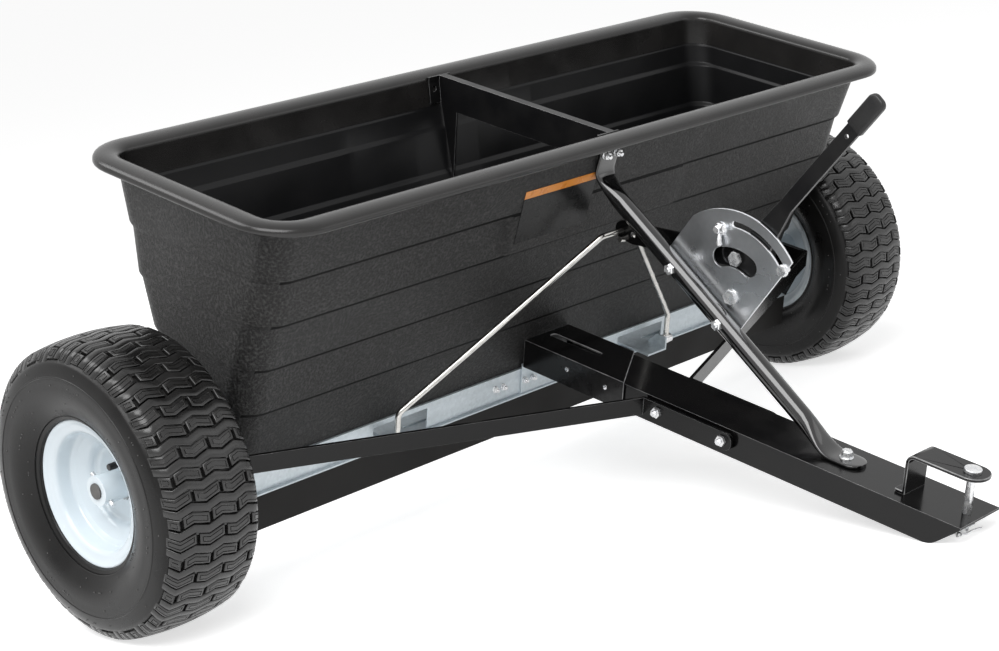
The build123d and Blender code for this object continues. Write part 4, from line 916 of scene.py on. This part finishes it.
# Hair-pin clip through the hitch pin's foot
clip = {
    "wire": 1.1, "bend": 3, "pinY": -769.5, "height": 24.0, "loopX": -17, "loopRadius": 6.5, "loopTurn": (40, 320),
    # both legs: X, distance behind the pin's middle
    "straightLeg": [(24, 0.5), (0, 0.5), (-10, 1.5)], "bentLeg": [(-6, -7.0), (6, -7.2), (14, -8.6), (22, -11)],
}
loopStart, loopStop = clip["loopTurn"]
loop = []
for step in range(13):
    angle = radians(loopStop + (loopStart - loopStop) * step / 12)
    loop.append((clip["loopX"] - clip["loopRadius"] * cos(angle), clip["loopRadius"] * sin(angle)))
clipLine = [(x, clip["pinY"] + y, clip["height"]) for x, y in clip["straightLeg"] + loop + clip["bentLeg"]]
hairPin = newShape()
path = roundedPath(clipLine, clip["bend"])
addTube(hairPin, path, [clip["wire"]] * len(path), segments=10)
makePiece("hairPinClip", hairPin, ["zincBolt"], "frame")
print("fasteners ready")


# CAD nodes that keep their shape get their finish, their sheared edges a small round, and on some that round a lighter
# material as a painted highlight
nodeFinish = {
    "satinBlack": ["cross_bar", "lever_bar"],
    "glossBlack": ["end_plate_left", "end_plate_right", "brace_left", "brace_right", "tongue", "tongue_sleeve",
                   "hitch_strap", "link_bar"],
    "galvanised": ["tongue_bracket", "trough_rail_front", "trough_rail_rear", "outlet_plate_left",
                   "outlet_plate_right", "shutter_left", "shutter_right", "shutter_ear_left", "shutter_ear_right"],
    "skirtGrey": ["skirt_front", "skirt_rear", "bearing_left", "bearing_right"],
    "zincPlate": ["quadrant_plate", "agitator", "spacer_left", "spacer_right", "end_washer"],
    "zincBolt": ["pivot_bolt", "stop_bolt", "wing_bolt", "link_bolt", "hitch_pin", "drive_pin", "rod_clamp_left",
                 "rod_clamp_right"],
    "rodSteel": ["rod_left"],
    "axleSteel": ["axle"],
    "rimPaint": ["hub_left", "hub_right"],
}
rounds = {
    "mergeDistance": 0.00002, "segments": 2, "leastAngle": 40, "width": 0.4,
    "widths": {
        "tongue": 1.8, "tongue_sleeve": 1.1, "brace_left": 0.8, "brace_right": 0.8, "hitch_strap": 1.1,
        "cross_bar": 0.9, "lever_bar": 0.7, "quadrant_plate": 0.5, "hub_left": 1.0, "hub_right": 1.0,
        "end_plate_left": 0.6, "end_plate_right": 0.6, "trough_rail_front": 0.7, "trough_rail_rear": 0.7,
    },
    # painted steel whose rounded edges take a lighter material, a painted highlight
    "paintedHighlightNodes": ["tongue", "tongue_sleeve", "hitch_strap", "brace_left", "brace_right", "lever_bar", "cross_bar"],
}
for material, nodes in nodeFinish.items():
    for node in nodes:
        piece = frame["nodes"][node]
        piece.data.materials.clear()
        piece.data.materials.append(finish[material])
        weld = piece.modifiers.new("joinedFaces", "WELD")
        weld.merge_threshold = rounds["mergeDistance"]
        rounding = piece.modifiers.new("edgeRound", "BEVEL")
        rounding.width = rounds["widths"].get(node, rounds["width"]) / 1000
        rounding.segments = rounds["segments"]
        rounding.limit_method = "ANGLE"
        rounding.angle_limit = radians(rounds["leastAngle"])
        rounding.harden_normals = True
        # the round's faces take the lighter material, a painted highlight
        if node in rounds["paintedHighlightNodes"]:
            piece.data.materials.append(finish["edgeHighlightBlack"])
            rounding.material = 1
print("CAD nodes dressed")


# Stage: a pale floor, soft lights, and a background that stays white
stage = {
    "floorReach": 30, "floorColor": 0.86, "floorLift": 0.66, "worldLight": 0.34, "lampAim": (0, -0.1, 0.1),
    # place in level metres, size, power
    "lamps": {
        "keyLight": ((-2.0, -0.7, 2.6), (2.4, 2.0), 88),
        "fillLight": ((1.8, -2.6, 1.8), (1.6, 1.6), 6),
        "backLight": ((-1.8, 2.2, 2.4), (2.4, 1.6), 48),
    },
}


def whereSeen(tree):
    # 1 on rays that reach the eye straight, by a reflection or through a clear thing, else 0
    path = addNode(tree, "ShaderNodeLightPath")
    direct = addNode(tree, "ShaderNodeMath", operation="MAXIMUM")
    seen = addNode(tree, "ShaderNodeMath", operation="MAXIMUM")
    wire(tree, (path, "Is Camera Ray", direct, 0), (path, "Is Glossy Ray", direct, 1),
         (direct, "Value", seen, 0), (path, "Is Transmission Ray", seen, 1))
    return seen


floorMesh = bpy.data.meshes.new("floor")
corners = [(x * stage["floorReach"], y * stage["floorReach"], 0) for x, y in ((-1, -1), (1, -1), (1, 1), (-1, 1))]
floorMesh.from_pydata(corners, [], [(0, 1, 2, 3)])
floor = addObject("floor", floorMesh)
floorFinish = bpy.data.materials.new("floorFinish")
floorFinish.use_nodes = True
tree = floorFinish.node_tree
tree.nodes.clear()
output = addNode(tree, "ShaderNodeOutputMaterial")
pale = addNode(tree, "ShaderNodeBsdfDiffuse", {"Color": (stage["floorColor"],) * 3 + (1,)})
glow = addNode(tree, "ShaderNodeEmission")
lifted = addNode(tree, "ShaderNodeMath", {1: stage["floorLift"]}, operation="MULTIPLY")
both = addNode(tree, "ShaderNodeAddShader")
wire(tree, (whereSeen(tree), "Value", lifted, 0), (lifted, "Value", glow, "Strength"), (pale, "BSDF", both, 0),
     (glow, "Emission", both, 1), (both, "Shader", output, "Surface"))
floorMesh.materials.append(floorFinish)

world = bpy.data.worlds.new("studio")
bpy.context.scene.world = world
world.use_nodes = True
tree = world.node_tree
tree.nodes.clear()
output = addNode(tree, "ShaderNodeOutputWorld")
soft = addNode(tree, "ShaderNodeBackground", {"Color": (1, 1, 1, 1), "Strength": stage["worldLight"]})
white = addNode(tree, "ShaderNodeBackground", {"Color": (1, 1, 1, 1), "Strength": 1})
either = addNode(tree, "ShaderNodeMixShader")
wire(tree, (whereSeen(tree), "Value", either, "Fac"), (soft, "Background", either, 1), (white, "Background", either, 2),
     (either, "Shader", output, "Surface"))

for name, (where, size, power) in stage["lamps"].items():
    light = bpy.data.lights.new(name, "AREA")
    light.shape = "RECTANGLE"
    light.size, light.size_y = size
    light.energy = power
    lamp = addObject(name, light)
    spot = lean @ Vector(where)
    aim = lean @ Vector(stage["lampAim"]) - spot
    lamp.matrix_world = Matrix.Translation(spot) @ aim.to_track_quat("-Z", "Y").to_matrix().to_4x4()

# Camera: solved from the wheels, the rim and the tongue, and carried with the leaning machine
camera = {
    "place": (-2.11825, -1.97295, 1.24951), "turn": (67.1532, -3.0674, -45.6572), "lens": 80.43, "sensor": 36,
    "clipEnd": 100,
}
cameraData = bpy.data.cameras.new("camera")
cameraData.lens = camera["lens"]
cameraData.sensor_width = camera["sensor"]
cameraData.clip_end = camera["clipEnd"]
eye = addObject("camera", cameraData)
turn = Euler([radians(angle) for angle in camera["turn"]]).to_matrix().to_4x4()
eye.matrix_world = lean @ Matrix.Translation(camera["place"]) @ turn
bpy.context.scene.camera = eye
bpy.context.scene.view_settings.view_transform = "Standard"
print("stage and camera ready")

bpy.context.view_layer.update()
